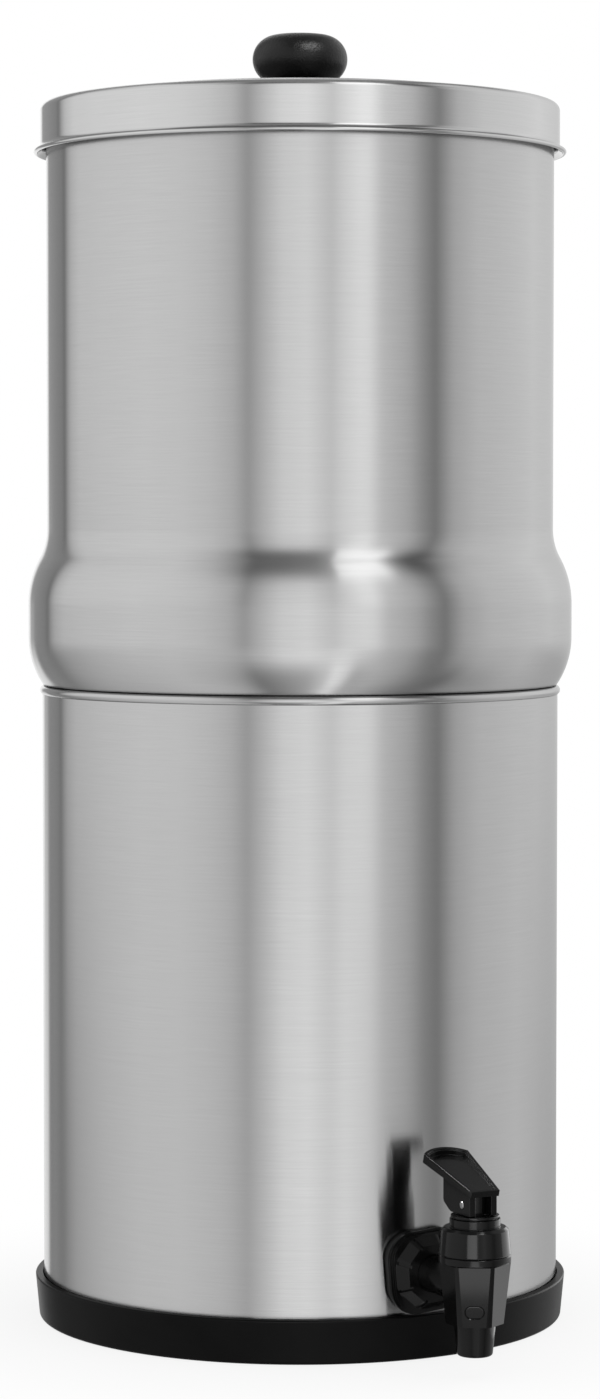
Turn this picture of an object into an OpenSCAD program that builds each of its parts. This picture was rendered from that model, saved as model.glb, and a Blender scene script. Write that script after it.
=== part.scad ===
// Two-chamber gravity water filter with a lever tap.
// The origin is on the vessel's axis, on the plane that it stands on. The tap points along -Y.

/* [Chambers] */
// Outside diameter of the lower chamber
chamber_d = 216; // [200:1:240]
// Thickness of the sheet steel
sheet = 1; // [0.8:0.1:1.3]
// Height of the lower chamber, underside to rim
lower_h = 260.2; // [210:0.2:320]
// Height of the upper chamber above the seam
upper_h = 240; // [215:1:300]
// How much smaller in radius the upper body is than the lower one
upper_step = 2.1; // [1:0.1:4]
// Section radius of the rolled rims
rim_r = 2; // [1.6:0.1:2.4]
// How far a rolled rim stands out of its wall
rim_out = 1; // [0.6:0.1:1.4]
// Outside radius of the chambers' bottom corners
floor_corner_r = 6; // [4:0.5:9]
// Height of the raised panel in each floor
floor_rise = 3; // [1.5:0.5:5]
// Width of the flat border round the raised panel
floor_border_w = 20; // [16:1:26]
// Depth that the upper chamber hangs in the lower one
nest_depth = 34; // [26:1:50]
// Radial gap between the upper chamber and the lower rim
nest_gap = 0.6; // [0.4:0.1:1]
// Gap under a piece that rests on a rolled rim
seat_gap = 0.3; // [0.2:0.05:0.5]

/* [Bulge] */
// How far the bulge stands out of the lower chamber
bulge_out = 5.75; // [4:0.25:8]
// Height of the bulge's lower curve
bulge_low_h = 19.8; // [16:0.2:24]
// Radius of the bulge's lower curve
bulge_low_r = 35.5; // [30:0.5:45]
// Height of the bulge's straight band
bulge_band_h = 14; // [8:1:24]
// Radius of the bulge's upper curve
bulge_top_r = 40; // [30:1:50]
// Radius of the hollow curve into the upper body
bulge_neck_r = 25; // [18:1:36]

/* [Lid] */
// Radial gap between the lid and the upper rim
lid_gap = 0.4; // [0.3:0.05:0.8]
// Height of the lid's side, lip to top edge
lid_side_h = 20.7; // [14:0.1:28]
// Radius of the lid's top edge
lid_corner_r = 3; // [2:0.5:4]
// How far the lid's lip stands out
lid_lip_out = 2.7; // [2.2:0.1:3.4]
// Section radius of the lid's rolled lip
lid_lip_r = 0.9; // [0.7:0.05:1.1]
// Angle that the lid's edge turns outward to its lip
lid_flare = 75; // [65:1:85]
// Height of the raised panel in the lid
lid_rise = 2.3; // [1:0.1:4]
// Width of the flat border round the lid's panel
lid_border_w = 16; // [10:1:30]
// Slope length of a raised panel's edge, seen from above
panel_slope_w = 5; // [4:0.5:8]

/* [Knob] */
// Diameter of the knob
knob_d = 39.6; // [34:0.2:46]
// Height of the knob above the lid
knob_h = 26.8; // [25:0.2:34]
// Radius of the knob's rounded edge
knob_edge_r = 10; // [8:0.5:11]
// Diameter of the knob's neck
knob_neck_d = 21; // [18:0.5:24]
// Radius of the flare at the foot of the neck
knob_flare_r = 2.5; // [1.5:0.5:3.5]
// Height of the rim at the foot of the neck
knob_foot_h = 1; // [0.5:0.25:2]
// Diameter of the knob's screw
knob_screw_d = 5; // [4:0.5:6]
// Depth of the knob's screw hole
knob_hole_depth = 16; // [12:1:18]
// Diameter of the washer under the lid
knob_washer_d = 18; // [14:1:24]
// Thickness of the washer under the lid
knob_washer_t = 1.2; // [0.8:0.1:2]
// Diameter of the knob screw's head
knob_head_d = 10; // [8.5:0.5:12]
// Height of the knob screw's head
knob_head_h = 3; // [2:0.5:4]

/* [Base ring] */
// Height of the base ring
base_h = 18.1; // [14:0.1:24]
// How far the base ring stands out of the chamber
base_out = 3.5; // [2.5:0.1:6]
// How much narrower in radius the base ring is at its foot
base_draft = 1.5; // [0.5:0.1:2.5]
// Thickness of the ledge under the chamber
base_ledge_t = 5; // [4.2:0.1:8]
// Width of the ledge under the chamber
base_ledge_w = 14; // [10:1:17]
// Radial gap between the base ring and the chamber
base_gap = 0.3; // [0.2:0.05:0.6]
// Radius of the base ring's rounded foot
base_foot_r = 1.5; // [1:0.25:2.5]

/* [Filters] */
// Distance of the filters from the vessel's axis
filter_ring_r = 50; // [44:1:54]
// Diameter of the filter block
filter_block_d = 62; // [50:1:66]
// Length of the filter block
filter_block_h = 130; // [90:1:140]
// Diameter of the hollow in the filter block
filter_core_d = 26; // [16:1:30]
// Wall of the filter's end caps
filter_cap_wall = 3; // [2:0.5:4]
// Height of the filter's end caps
filter_cap_h = 14; // [12:1:18]
// Diameter of the filter's threaded stem
filter_stem_d = 12; // [10:0.5:14]
// Diameter of the water way in the filter's stem
filter_way_d = 6; // [4:0.5:7]
// Length of the stem below the floor
filter_stem_h = 18; // [15:1:22]
// Radial gap round the stem in the floor's hole
filter_hole_gap = 0.5; // [0.3:0.1:0.8]
// Diameter of the filter's washer
filter_washer_d = 28; // [24:1:32]
// Thickness of the filter's washer
filter_washer_t = 2.5; // [1.5:0.5:3.5]
// Diameter of the wing nut's hub
wing_hub_d = 20; // [18:1:24]
// Height of the wing nut's hub
wing_hub_h = 9; // [7:1:12]
// Width across the wing nut's two wings
wing_span = 40; // [34:1:46]
// Thickness of the wings
wing_t = 3; // [2:0.5:4]
// Drop of the wings below the floor
wing_h = 13; // [11:1:16]
// Radius of the wings' tips
wing_tip_r = 3; // [2:0.5:4]
// Diameter of a blocking plug's head
plug_head_d = 26; // [22:1:30]
// Height of a blocking plug's head
plug_head_h = 7; // [5:1:10]
// Length of a blocking plug below the floor
plug_tail_h = 8; // [6:1:12]

/* [Tap place] */
// Distance of the tap's upright axis from the chamber's wall
tap_reach = 42; // [38:0.5:60]
// Side of the tap's square flange
flange_w = 33; // [30:0.2:38]
// Corner radius of the flange
flange_corner_r = 11; // [6:0.5:12]
// Angle by which the flange sits turned on the shank
flange_turn = 5; // [-10:0.5:10]
// Thickness of the flange
flange_t = 3; // [2.4:0.1:4]
// Inset of the flange's front step
flange_step_w = 1.1; // [0.6:0.1:1.6]
// Height of the flange above the base ring
flange_base_gap = 1.2; // [0.8:0.1:2]
// Diameter of the flange's boss at the flange
boss_d = 30.4; // [28:0.2:31]
// Diameter of the flange's boss at its end
boss_end_d = 23.8; // [21:0.2:25]
// Length of the flange's boss
boss_h = 4.6; // [3.6:0.1:6]
// Number of flats round the boss
boss_flats_n = 8; // [6:1:12]
// Depth of the boss's flats
boss_flat_cut = 0.5; // [0.3:0.1:1]
// Width of the notches between the boss's flats
boss_notch_w = 1.2; // [0.8:0.1:1.8]
// Depth of the notches between the boss's flats
boss_notch_cut = 1.1; // [0.8:0.1:1.6]
// Thickness of the outer gasket at the middle
gasket_t = 2; // [1.5:0.1:3]
// Margin of the outer gasket inside the flange's edge
gasket_inset = 0.8; // [0.4:0.1:2]
// Gap between the shaped gaskets and the chamber's wall
gasket_gap = 0.05; // [0.02:0.01:0.1]
// Diameter of the inner washer
inner_washer_d = 28; // [25:1:32]
// Thickness of the inner washer at the middle
inner_washer_t = 2.5; // [2:0.1:3.5]
// Width of the tap's nut across its flats
tap_nut_w = 26; // [23:0.5:30]
// Thickness of the tap's nut
tap_nut_h = 8; // [6:0.5:11]

/* [Tap body] */
// Diameter of the threaded shank
shank_d = 15; // [14:0.5:17]
// Diameter of the water way in the shank
shank_way_d = 9; // [7:0.5:10]
// Length of the shank beyond its nut
shank_tail = 3; // [2:0.5:6]
// Fit of the nut and flange on the shank, radial
shank_gap = 0.1; // [0.05:0.05:0.2]
// Diameter of the body's round collar
body_d = 28.2; // [26.5:0.1:30]
// Height of the body above the shank's axis
body_up = 13.2; // [12.2:0.1:16]
// Height of the round collar above the flats
body_collar_h = 2.8; // [2:0.1:4]
// Depth of the body below the shank's axis
body_down = 13.8; // [12.5:0.1:18]
// Diameter over the corners at the body's lower end
body_end_d = 22.6; // [21:0.1:25]
// Width across the flats at their upper end
flats_top_w = 25.1; // [23.8:0.1:25.6]
// Width across the flats at their lower end
flats_end_w = 20.7; // [19.8:0.1:21]
// Number of flats
flats_n = 6; // [6:1:8]
// Diameter of the body's chamber
body_bore_d = 16.6; // [16:0.1:17.4]
// Height of the valve seat above the body's lower end
seat_up = 2; // [1:0.25:4]
// Length of the nozzle
nozzle_h = 12.7; // [10:0.1:16]
// Diameter of the nozzle where it leaves the body
nozzle_d = 16.4; // [15:0.1:18]
// Diameter of the nozzle at its mouth
nozzle_end_d = 14.2; // [13:0.1:15]
// Radius of the nozzle's rounded mouth edge
nozzle_edge_r = 1.2; // [0.6:0.1:1.6]
// Diameter of the outlet
outlet_d = 9; // [7:0.5:10]
// Length of the shallow thumb mark on one flat
mark_w = 6.6; // [5:0.2:8]
// Height of the shallow thumb mark
mark_h = 4.6; // [3.6:0.2:5]
// Depth of the shallow thumb mark
mark_depth = 0.5; // [0.3:0.1:0.8]
// Height of the mark's middle above the body's lower end
mark_up = 6; // [4.5:0.1:8]

/* [Bonnet] */
// Height of the bonnet above the seam
bonnet_h = 11; // [9:0.5:14]
// Diameter of the bonnet at its top
bonnet_top_d = 26.4; // [24.5:0.1:27]
// Width of the bonnet's bevelled top edge
bonnet_bevel = 1.2; // [0.6:0.1:1.8]
// Depth of the bonnet's skirt in the body
skirt_h = 7; // [5:0.5:8]
// Outside diameter of the bonnet's skirt
skirt_d = 20.4; // [19.6:0.1:20.8]
// Diameter of the bonnet's neck
neck_d = 19.9; // [18.4:0.1:21]
// Height of the bonnet's neck
neck_h = 3.2; // [2:0.1:5]
// Diameter of the groove on top of the neck
neck_groove_d = 17.4; // [15:0.1:18]
// Height of that groove
neck_groove_h = 0.4; // [0.3:0.1:0.7]
// Diameter of the ring that the lever's foot turns on
track_d = 19; // [18.2:0.1:20]
// Height of that ring
track_h = 1.4; // [0.8:0.1:2.5]
// Thickness of the bonnet's roof below the neck
roof_t = 2.6; // [2:0.1:4]

/* [Valve] */
// Diameter of the stem
stem_d = 8; // [7:0.1:8.6]
// Running gap of the stem and the pin, radial
run_gap = 0.06; // [0.03:0.01:0.1]
// Diameter of the seat cup
cup_d = 14.6; // [13.6:0.1:15]
// Height of the seat cup
cup_h = 14; // [12:0.5:15]
// Thickness of the seat cup's floor
cup_floor_t = 3.5; // [2.5:0.25:4.5]
// Thickness of the seat cup's lip over the stem's foot
cup_lip_t = 2.5; // [2:0.25:3]
// Diameter of the stem's foot in the cup
foot_d = 8.8; // [8.2:0.1:9.4]
// Diameter of the stem's waist above its foot
waist_d = 5.2; // [4.6:0.1:6]
// Gap round the stem's foot in the cup
cup_gap = 0.3; // [0.2:0.05:0.4]
// Diameter of the spring's wire
spring_wire = 0.9; // [0.7:0.1:1.1]
// Mean diameter of the spring
spring_d = 10.8; // [10.2:0.1:11.4]
// Turns of the spring
spring_turns = 7; // [5:1:9]
// Gap at each end of the spring
spring_gap = 0.1; // [0.05:0.05:0.3]

/* [Lever] */
// Height of the lever's pin above the foot's underside
pin_up = 3.8; // [3.2:0.1:4.4]
// Diameter of the lever's pin
pin_d = 3; // [2.6:0.1:3.4]
// Gap between the lever's foot and its track
cam_gap = 0.2; // [0.15:0.05:0.3]
// Lift of the stem for each radian that the lever tips
cam_rise = 7.6; // [6.6:0.1:7.8]
// Angle of tip at which the lever's cam ends
cam_end = 32; // [30:1:36]
// Width over the lever's two cheeks
fork_w = 12.2; // [11.6:0.1:13]
// Width of the slot between the cheeks
fork_slot_w = 7.1; // [6:0.1:7.4]
// How far the flats of the stem's tongue reach down into the neck
tongue_drop = 2.5; // [2:0.25:3.5]
// Gap between the tongue's round end and the pad
tongue_top_gap = 0.4; // [0.3:0.05:0.6]
// Side gap of the stem's tongue in the slot
tongue_gap = 0.25; // [0.15:0.05:0.4]
// Distance from the pin to the front of the cheeks
cheek_front = 6.5; // [6:0.1:8]
// Distance from the pin to the back of the cheeks
cheek_back = 14.6; // [13.8:0.1:16]
// Radius of the cheeks' lower back corner
cheek_corner_r = 2; // [1:0.25:2.5]
// Slope of the thumb pad's underside
pad_slope = 16.6; // [12:0.2:20]
// How much steeper the pad's top is than its underside
pad_taper = 2.2; // [1:0.1:3]
// Height of the pad's underside above the pin, over the pin
pad_up = 6.1; // [5:0.1:7]
// Distance from the pin to the pad's front edge, along the pad
pad_front = 8; // [7.4:0.1:10]
// Length of the pad's straight sides
pad_side_l = 33.4; // [28:0.2:38]
// Width of the pad's front edge
pad_front_w = 12.6; // [12.2:0.1:14]
// Width of the pad across its thumb end
pad_w = 19.8; // [17:0.1:22]
// Bulge of the pad's rounded end
pad_end_bulge = 4.4; // [3:0.1:6]
// Thickness of the pad at its front edge
pad_t = 2.5; // [2.2:0.1:3.5]
// Width of the pad's rim
pad_rim_w = 1.3; // [0.8:0.1:1.6]
// Depth of the pad's dish at its front
dish_front = 0.6; // [0.4:0.1:1]
// Depth of the pad's dish at its thumb end
dish_back = 2.3; // [1.5:0.1:2.5]

/* [Hidden] */

round_fn = 128;   // segments of a turned face, where it is shown as a mesh
wall_fn = 720;    // the same, where a small piece is shaped to the chamber's wall
arc_step = 6;     // degrees between the points of a drawn arc
over = 1;         // how far a cutter runs past the face that it cuts
cam_n = 5;        // straight steps in the lever's cam
ring_n = 16;      // rings in a turn of the spring
section_n = 6;    // points round the spring's wire
land_h = 0.4;     // height of the tap body's cone above its flats

steel = [0.78, 0.78, 0.77];
black = [0.06, 0.06, 0.065];
rubber = [0.09, 0.09, 0.09];
silicone = [0.85, 0.85, 0.82];
cream = [0.9, 0.88, 0.82];
grey = [0.35, 0.36, 0.38];

// Lower chamber
lower_r = chamber_d / 2;
lower_z = base_ledge_t;
lower_rim_z = lower_z + lower_h;
lower_rim_c = lower_r + rim_out - rim_r;

// Upper chamber
shoulder_z = lower_rim_z + seat_gap;
nest_r = lower_rim_c - rim_r - nest_gap;
upper_r = lower_r - upper_step;
bulge_r = lower_r + bulge_out;
upper_floor_z = shoulder_z - nest_depth;
upper_rim_z = shoulder_z + upper_h;
upper_rim_c = upper_r + rim_out - rim_r;
bulge_dx = bulge_top_r + bulge_neck_r - (bulge_r - upper_r);
bulge_dz = sqrt(pow(bulge_top_r + bulge_neck_r, 2) - pow(bulge_dx, 2));
bulge_turn = atan2(bulge_dz, bulge_dx);
bulge_low_z = shoulder_z + bulge_low_h;
bulge_top_z = bulge_low_z + bulge_band_h;
shoulder_fillet = 1;

// Lid and knob
lid_r = upper_r + rim_out + lid_gap + sheet;
lid_top_z = upper_rim_z + seat_gap + sheet;
lid_mid_z = lid_top_z + lid_rise;
lid_lip_z = lid_top_z - lid_side_h + lid_lip_r;
lid_lip_c = lid_r + lid_lip_out - lid_lip_r;
lid_flare_r = (lid_lip_c - lid_r + sheet / 2 * cos(lid_flare)) / (1 - cos(lid_flare));
lid_flare_z = lid_lip_z + (lid_flare_r + sheet / 2) * sin(lid_flare);
screw_gap = 0.1;

// Filters: two elements and two plugs share the four holes in the upper floor
filter_angles = [0, 180];
plug_angles = [90, 270];
hole_r = filter_stem_d / 2 + filter_hole_gap;
upper_floor_top = upper_floor_z + sheet;
filter_cap_d = filter_block_d + 2 * filter_cap_wall;
filter_base_z = upper_floor_top + filter_washer_t;
filter_block_z = filter_base_z + filter_cap_wall;
filter_cap_z = filter_block_z + filter_block_h - (filter_cap_h - filter_cap_wall);

// Tap
tap_r = lower_r + tap_reach;
tap_z = base_h + flange_base_gap + flange_w / 2;
flange_y = lower_r + gasket_t;
nut_y = lower_r - sheet - inner_washer_t;
body_top = body_up;
body_low = -body_down;
flats_top = body_up - body_collar_h;
cone_top = flats_top + land_h;
seat_z = body_low + seat_up;
skirt_z = body_up - skirt_h;
bonnet_top = body_up + bonnet_h;
neck_top = bonnet_top + neck_h;
groove_top = neck_top + neck_groove_h;
track_top = neck_top + track_h;
roof_z = bonnet_top - roof_t;
pocket_r = cup_d / 2 + cup_gap;
cup_top = seat_z + cup_h;
pin_z = track_top + cam_gap + pin_up;
tongue_w = fork_slot_w - 2 * tongue_gap;
tongue_z = track_top - tongue_drop;
tongue_r = pad_up * cos(pad_slope) - tongue_top_gap;
flats_tilt = atan2((flats_top_w - flats_end_w) / 2, flats_top - body_low);
mark_r = flats_end_w / 2 + mark_up * tan(flats_tilt) - mark_depth;
mark_angle = 240;

// Points of an arc about c, from angle a0 to angle a1
function arc(c, r, a0, a1) =
    let (n = max(2, ceil(abs(a1 - a0) / arc_step)))
    [for (i = [0:n]) c + r * [cos(a0 + (a1 - a0) * i / n), sin(a0 + (a1 - a0) * i / n)]];

function unit(v) = v / norm(v);
function left_of(v) = [-v[1], v[0]];
function leg(path, i) = unit(path[i] - path[i - 1]);
function backwards(path) = [for (i = [len(path) - 1:-1:0]) path[i]];
function without_first(path) = [for (i = [1:len(path) - 1]) path[i]];

// The same path, moved by t to its left
function inset(path, t) =
    [for (i = [0:len(path) - 1])
        let (
            a = leg(path, max(i, 1)),
            b = leg(path, min(i + 1, len(path) - 1)),
            n = left_of(a) + left_of(b)
        )
        path[i] + t * n * 2 / (n * n)];

// Turned sheet metal: the path is its outer face, and the sheet lies to the path's left
module turned_sheet(path) {
    rotate_extrude($fn = round_fn) polygon(concat(path, backwards(inset(path, sheet))));
}

module turned(path) {
    rotate_extrude($fn = round_fn) polygon(path);
}

module bead(centre_r, z, r) {
    rotate_extrude($fn = round_fn) translate([centre_r, z]) circle(r = r, $fn = 48);
}

module at_angles(angles) {
    for (a = angles) rotate([0, 0, a]) translate([filter_ring_r, 0, 0]) children();
}

// Flats of width w cut round a turned body, with the distance from the axis running from a0 at z0 to a1 at z1
module flats(n, z0, z1, a0, a1, reach, w) {
    tilt = atan2(a1 - a0, z1 - z0);
    for (k = [0:n - 1])
        rotate([0, 0, k * 360 / n])
            translate([a0, 0, z0])
                rotate([0, tilt, 0])
                    translate([0, -w / 2, -over])
                        cube([reach, w, (z1 - z0) / cos(tilt) + over]);
}

module rounded_square(w, r) {
    s = w / 2 - r;
    square([w, 2 * s], center = true);
    square([2 * s, w], center = true);
    for (x = [-s, s], y = [-s, s]) translate([x, y]) circle(r = r, $fn = 48);
}

module at_tap() {
    translate([0, -tap_r, tap_z]) children();
}

// Turns a shape drawn along +Z so that it points away from the vessel, starting y from the axis
module along_shank(y) {
    translate([0, -y, tap_z]) rotate([90, 0, 0]) children();
}

module base_ring() {
    top_r = lower_r + base_out;
    foot_r = top_r - base_draft;
    well_r = lower_r + base_gap;
    color(rubber)
        turned(concat(
            [[lower_r - base_ledge_w, 0]],
            arc([foot_r - base_foot_r, base_foot_r], base_foot_r, -90, 0),
            arc([top_r - base_foot_r / 2, base_h - base_foot_r / 2], base_foot_r / 2, 0, 90),
            [[well_r, base_h], [well_r, base_ledge_t], [lower_r - base_ledge_w, base_ledge_t]]
        ));
}

module lower_chamber() {
    panel_r = lower_r - floor_border_w;
    color(steel)
        difference() {
            union() {
                turned_sheet(concat(
                    [[0, lower_z + floor_rise], [panel_r - panel_slope_w, lower_z + floor_rise]],
                    [[panel_r, lower_z]],
                    arc([lower_r - floor_corner_r, lower_z + floor_corner_r], floor_corner_r, -90, 0),
                    [[lower_r, lower_rim_z - rim_r]]
                ));
                bead(lower_rim_c, lower_rim_z - rim_r, rim_r);
            }
            along_shank(lower_r - sheet - floor_corner_r)
                cylinder(d = shank_d + 2 * shank_gap, h = sheet + 2 * floor_corner_r, $fn = 64);
        }
}

module upper_chamber() {
    arc_low = asin(bulge_low_h / bulge_low_r);
    color(steel)
        difference() {
            union() {
                turned_sheet(concat(
                    [[0, upper_floor_z]],
                    arc([nest_r - floor_corner_r, upper_floor_z + floor_corner_r], floor_corner_r, -90, 0),
                    arc([nest_r + shoulder_fillet, shoulder_z - shoulder_fillet], shoulder_fillet, 180, 90),
                    arc([bulge_r - bulge_low_r, bulge_low_z], bulge_low_r, -arc_low, 0),
                    arc([bulge_r - bulge_top_r, bulge_top_z], bulge_top_r, 0, bulge_turn),
                    without_first(arc([upper_r + bulge_neck_r, bulge_top_z + bulge_dz], bulge_neck_r,
                                      180 + bulge_turn, 180)),
                    [[upper_r, upper_rim_z - rim_r]]
                ));
                bead(upper_rim_c, upper_rim_z - rim_r, rim_r);
            }
            at_angles(concat(filter_angles, plug_angles))
                translate([0, 0, upper_floor_z - over])
                    cylinder(r = hole_r, h = sheet + 2 * over, $fn = 48);
        }
}

module lid() {
    panel_r = lid_r - lid_border_w;
    color(steel)
        difference() {
            union() {
                turned_sheet(concat(
                    arc([lid_r + lid_flare_r, lid_flare_z], lid_flare_r, 180 + lid_flare, 180),
                    arc([lid_r - lid_corner_r, lid_top_z - lid_corner_r], lid_corner_r, 0, 90),
                    [[panel_r, lid_top_z], [panel_r - panel_slope_w, lid_mid_z], [0, lid_mid_z]]
                ));
                bead(lid_lip_c, lid_lip_z, lid_lip_r);
            }
            translate([0, 0, lid_mid_z - sheet - over])
                cylinder(d = knob_screw_d + 2 * screw_gap, h = sheet + 2 * over, $fn = 48);
        }
}

module lid_knob() {
    head_r = knob_d / 2 - knob_edge_r;
    top_z = lid_mid_z + knob_h;
    neck_r = knob_neck_d / 2;
    color(black)
        difference() {
            rotate_extrude($fn = round_fn)
                union() {
                    intersection() {
                        translate([head_r, top_z - knob_edge_r]) circle(r = knob_edge_r, $fn = 96);
                        translate([0, top_z - 2 * knob_edge_r]) square([knob_d, 2 * knob_edge_r]);
                    }
                    translate([0, top_z - 2 * knob_edge_r]) square([head_r, 2 * knob_edge_r]);
                    polygon(concat(
                        [[0, top_z - knob_edge_r], [0, lid_mid_z], [neck_r + knob_flare_r, lid_mid_z]],
                        arc([neck_r + knob_flare_r, lid_mid_z + knob_foot_h + knob_flare_r],
                            knob_flare_r, 270, 180),
                        [[neck_r, top_z - knob_edge_r]]
                    ));
                }
            translate([0, 0, lid_mid_z - over])
                cylinder(d = knob_screw_d + screw_gap, h = knob_hole_depth + over, $fn = 48);
        }
}

module lid_knob_washer() {
    color(steel)
        translate([0, 0, lid_mid_z - sheet - knob_washer_t])
            difference() {
                cylinder(d = knob_washer_d, h = knob_washer_t, $fn = 64);
                translate([0, 0, -over])
                    cylinder(d = knob_screw_d + 2 * screw_gap, h = knob_washer_t + 2 * over, $fn = 48);
            }
}

module lid_knob_screw() {
    head_z = lid_mid_z - sheet - knob_washer_t - knob_head_h;
    end_z = lid_mid_z + knob_hole_depth - 2 * screw_gap;
    color(steel)
        union() {
            translate([0, 0, head_z]) cylinder(d = knob_head_d, h = knob_head_h, $fn = 64);
            translate([0, 0, head_z]) cylinder(d = knob_screw_d, h = end_z - head_z, $fn = 48);
        }
}

module at_filter(i) {
    rotate([0, 0, filter_angles[i]]) translate([filter_ring_r, 0, 0]) children();
}

module filter_base(i) {
    cap_r = filter_cap_d / 2;
    block_r = filter_block_d / 2 + screw_gap;
    stem_r = filter_stem_d / 2;
    way_r = filter_way_d / 2;
    color(grey)
        at_filter(i)
            turned([
                [way_r, upper_floor_z - filter_stem_h], [stem_r, upper_floor_z - filter_stem_h],
                [stem_r, filter_base_z], [cap_r, filter_base_z], [cap_r, filter_base_z + filter_cap_h],
                [block_r, filter_base_z + filter_cap_h], [block_r, filter_block_z], [way_r, filter_block_z]
            ]);
}

module filter_block(i) {
    color(cream)
        at_filter(i)
            translate([0, 0, filter_block_z])
                difference() {
                    cylinder(d = filter_block_d, h = filter_block_h, $fn = 96);
                    translate([0, 0, -over])
                        cylinder(d = filter_core_d, h = filter_block_h + 2 * over, $fn = 64);
                }
}

module filter_cap(i) {
    cap_r = filter_cap_d / 2;
    block_r = filter_block_d / 2 + screw_gap;
    top_z = filter_cap_z + filter_cap_h;
    edge_r = filter_cap_wall;
    color(grey)
        at_filter(i)
            turned(concat(
                [[0, top_z - filter_cap_wall], [block_r, top_z - filter_cap_wall]],
                [[block_r, filter_cap_z], [cap_r, filter_cap_z]],
                arc([cap_r - edge_r, top_z - edge_r], edge_r, 0, 90),
                [[0, top_z]]
            ));
}

module filter_washers() {
    color(rubber)
        at_angles(filter_angles)
            translate([0, 0, upper_floor_top])
                difference() {
                    cylinder(d = filter_washer_d, h = filter_washer_t, $fn = 64);
                    translate([0, 0, -over])
                        cylinder(d = filter_stem_d + 2 * screw_gap, h = filter_washer_t + 2 * over, $fn = 48);
                }
}

module filter_wing_nuts() {
    color(grey)
        at_angles(filter_angles)
            translate([0, 0, upper_floor_z])
                difference() {
                    union() {
                        translate([0, 0, -wing_hub_h]) cylinder(d = wing_hub_d, h = wing_hub_h, $fn = 64);
                        for (side = [0, 180])
                            rotate([90, 0, side])
                                translate([0, 0, -wing_t / 2]) linear_extrude(wing_t) wing_outline();
                    }
                    translate([0, 0, -wing_h - over])
                        cylinder(d = filter_stem_d + 2 * screw_gap, h = wing_h + 2 * over, $fn = 48);
                }
}

// One wing in the upright plane, with the nut's axis at x = 0 and the floor's underside at y = 0
module wing_outline() {
    tip = [wing_span / 2 - wing_tip_r, wing_tip_r - wing_h];
    translate(tip) circle(r = wing_tip_r, $fn = 48);
    polygon([
        [0, -wing_hub_h], [0, -wing_tip_r], [wing_hub_d / 2, -wing_tip_r], tip + [wing_tip_r, 0],
        tip + [0, -wing_tip_r], [wing_hub_d / 2, -wing_hub_h]
    ]);
}

module blocking_plugs() {
    head_r = plug_head_d / 2;
    tail_r = hole_r + 1;
    color(rubber)
        at_angles(plug_angles)
            turned(concat(
                [[0, upper_floor_z - plug_tail_h], [hole_r - 2, upper_floor_z - plug_tail_h]],
                [[tail_r, upper_floor_z - screw_gap], [hole_r - screw_gap, upper_floor_z - screw_gap]],
                [[hole_r - screw_gap, upper_floor_top], [head_r, upper_floor_top]],
                arc([head_r - 2, upper_floor_top + plug_head_h - 2], 2, 0, 90),
                [[0, upper_floor_top + plug_head_h]]
            ));
}

module tap_gasket() {
    side = flange_w - 2 * gasket_inset;
    color(rubber)
        difference() {
            along_shank(flange_y - sheet - gasket_t * 2)
                linear_extrude(gasket_t * 2 + sheet)
                    rotate(flange_turn) rounded_square(side, flange_corner_r - gasket_inset);
            cylinder(r = lower_r + gasket_gap, h = tap_z + flange_w, $fn = wall_fn);
            along_shank(0) cylinder(d = shank_d + 2 * shank_gap, h = tap_r, $fn = 64);
        }
}

module tap_flange() {
    boss_r = boss_d / 2;
    end_r = boss_end_d / 2;
    boss_z = flange_t + boss_h;
    past_r = end_r - over * (boss_r - end_r) / boss_h;
    color(black)
        difference() {
            along_shank(flange_y)
                rotate(flange_turn) union() {
                    linear_extrude(flange_t / 2) rounded_square(flange_w, flange_corner_r);
                    linear_extrude(flange_t)
                        rounded_square(flange_w - 2 * flange_step_w, flange_corner_r - flange_step_w);
                    difference() {
                        turned([[0, 0], [boss_r, 0], [boss_r, flange_t], [end_r, boss_z], [0, boss_z]]);
                        flats(boss_flats_n, flange_t, boss_z + over, boss_r - boss_flat_cut,
                              past_r - boss_flat_cut, boss_d, boss_d);
                        rotate([0, 0, 180 / boss_flats_n])
                            flats(boss_flats_n, flange_t, boss_z + over, boss_r - boss_notch_cut,
                                  past_r - boss_notch_cut, boss_d, boss_notch_w);
                    }
                }
            along_shank(0) cylinder(d = shank_d + 2 * shank_gap, h = tap_r, $fn = 64);
        }
}

module tap_inner_washer() {
    color(rubber)
        difference() {
            intersection() {
                along_shank(nut_y) cylinder(d = inner_washer_d, h = inner_washer_t * 2, $fn = 64);
                cylinder(r = lower_r - sheet - gasket_gap, h = tap_z + flange_w, $fn = wall_fn);
            }
            along_shank(0) cylinder(d = shank_d + 2 * shank_gap, h = tap_r, $fn = 64);
        }
}

module tap_nut() {
    corner_r = tap_nut_w / 2 / cos(30);
    color(black)
        difference() {
            intersection() {
                along_shank(nut_y - tap_nut_h) cylinder(r = corner_r, h = tap_nut_h, $fn = 6);
                along_shank(nut_y - tap_nut_h)
                    cylinder(r1 = tap_nut_w / 2, r2 = tap_nut_w / 2 + tap_nut_h, h = tap_nut_h, $fn = 64);
            }
            along_shank(0) cylinder(d = shank_d + 2 * shank_gap, h = tap_r, $fn = 64);
        }
}

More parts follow.
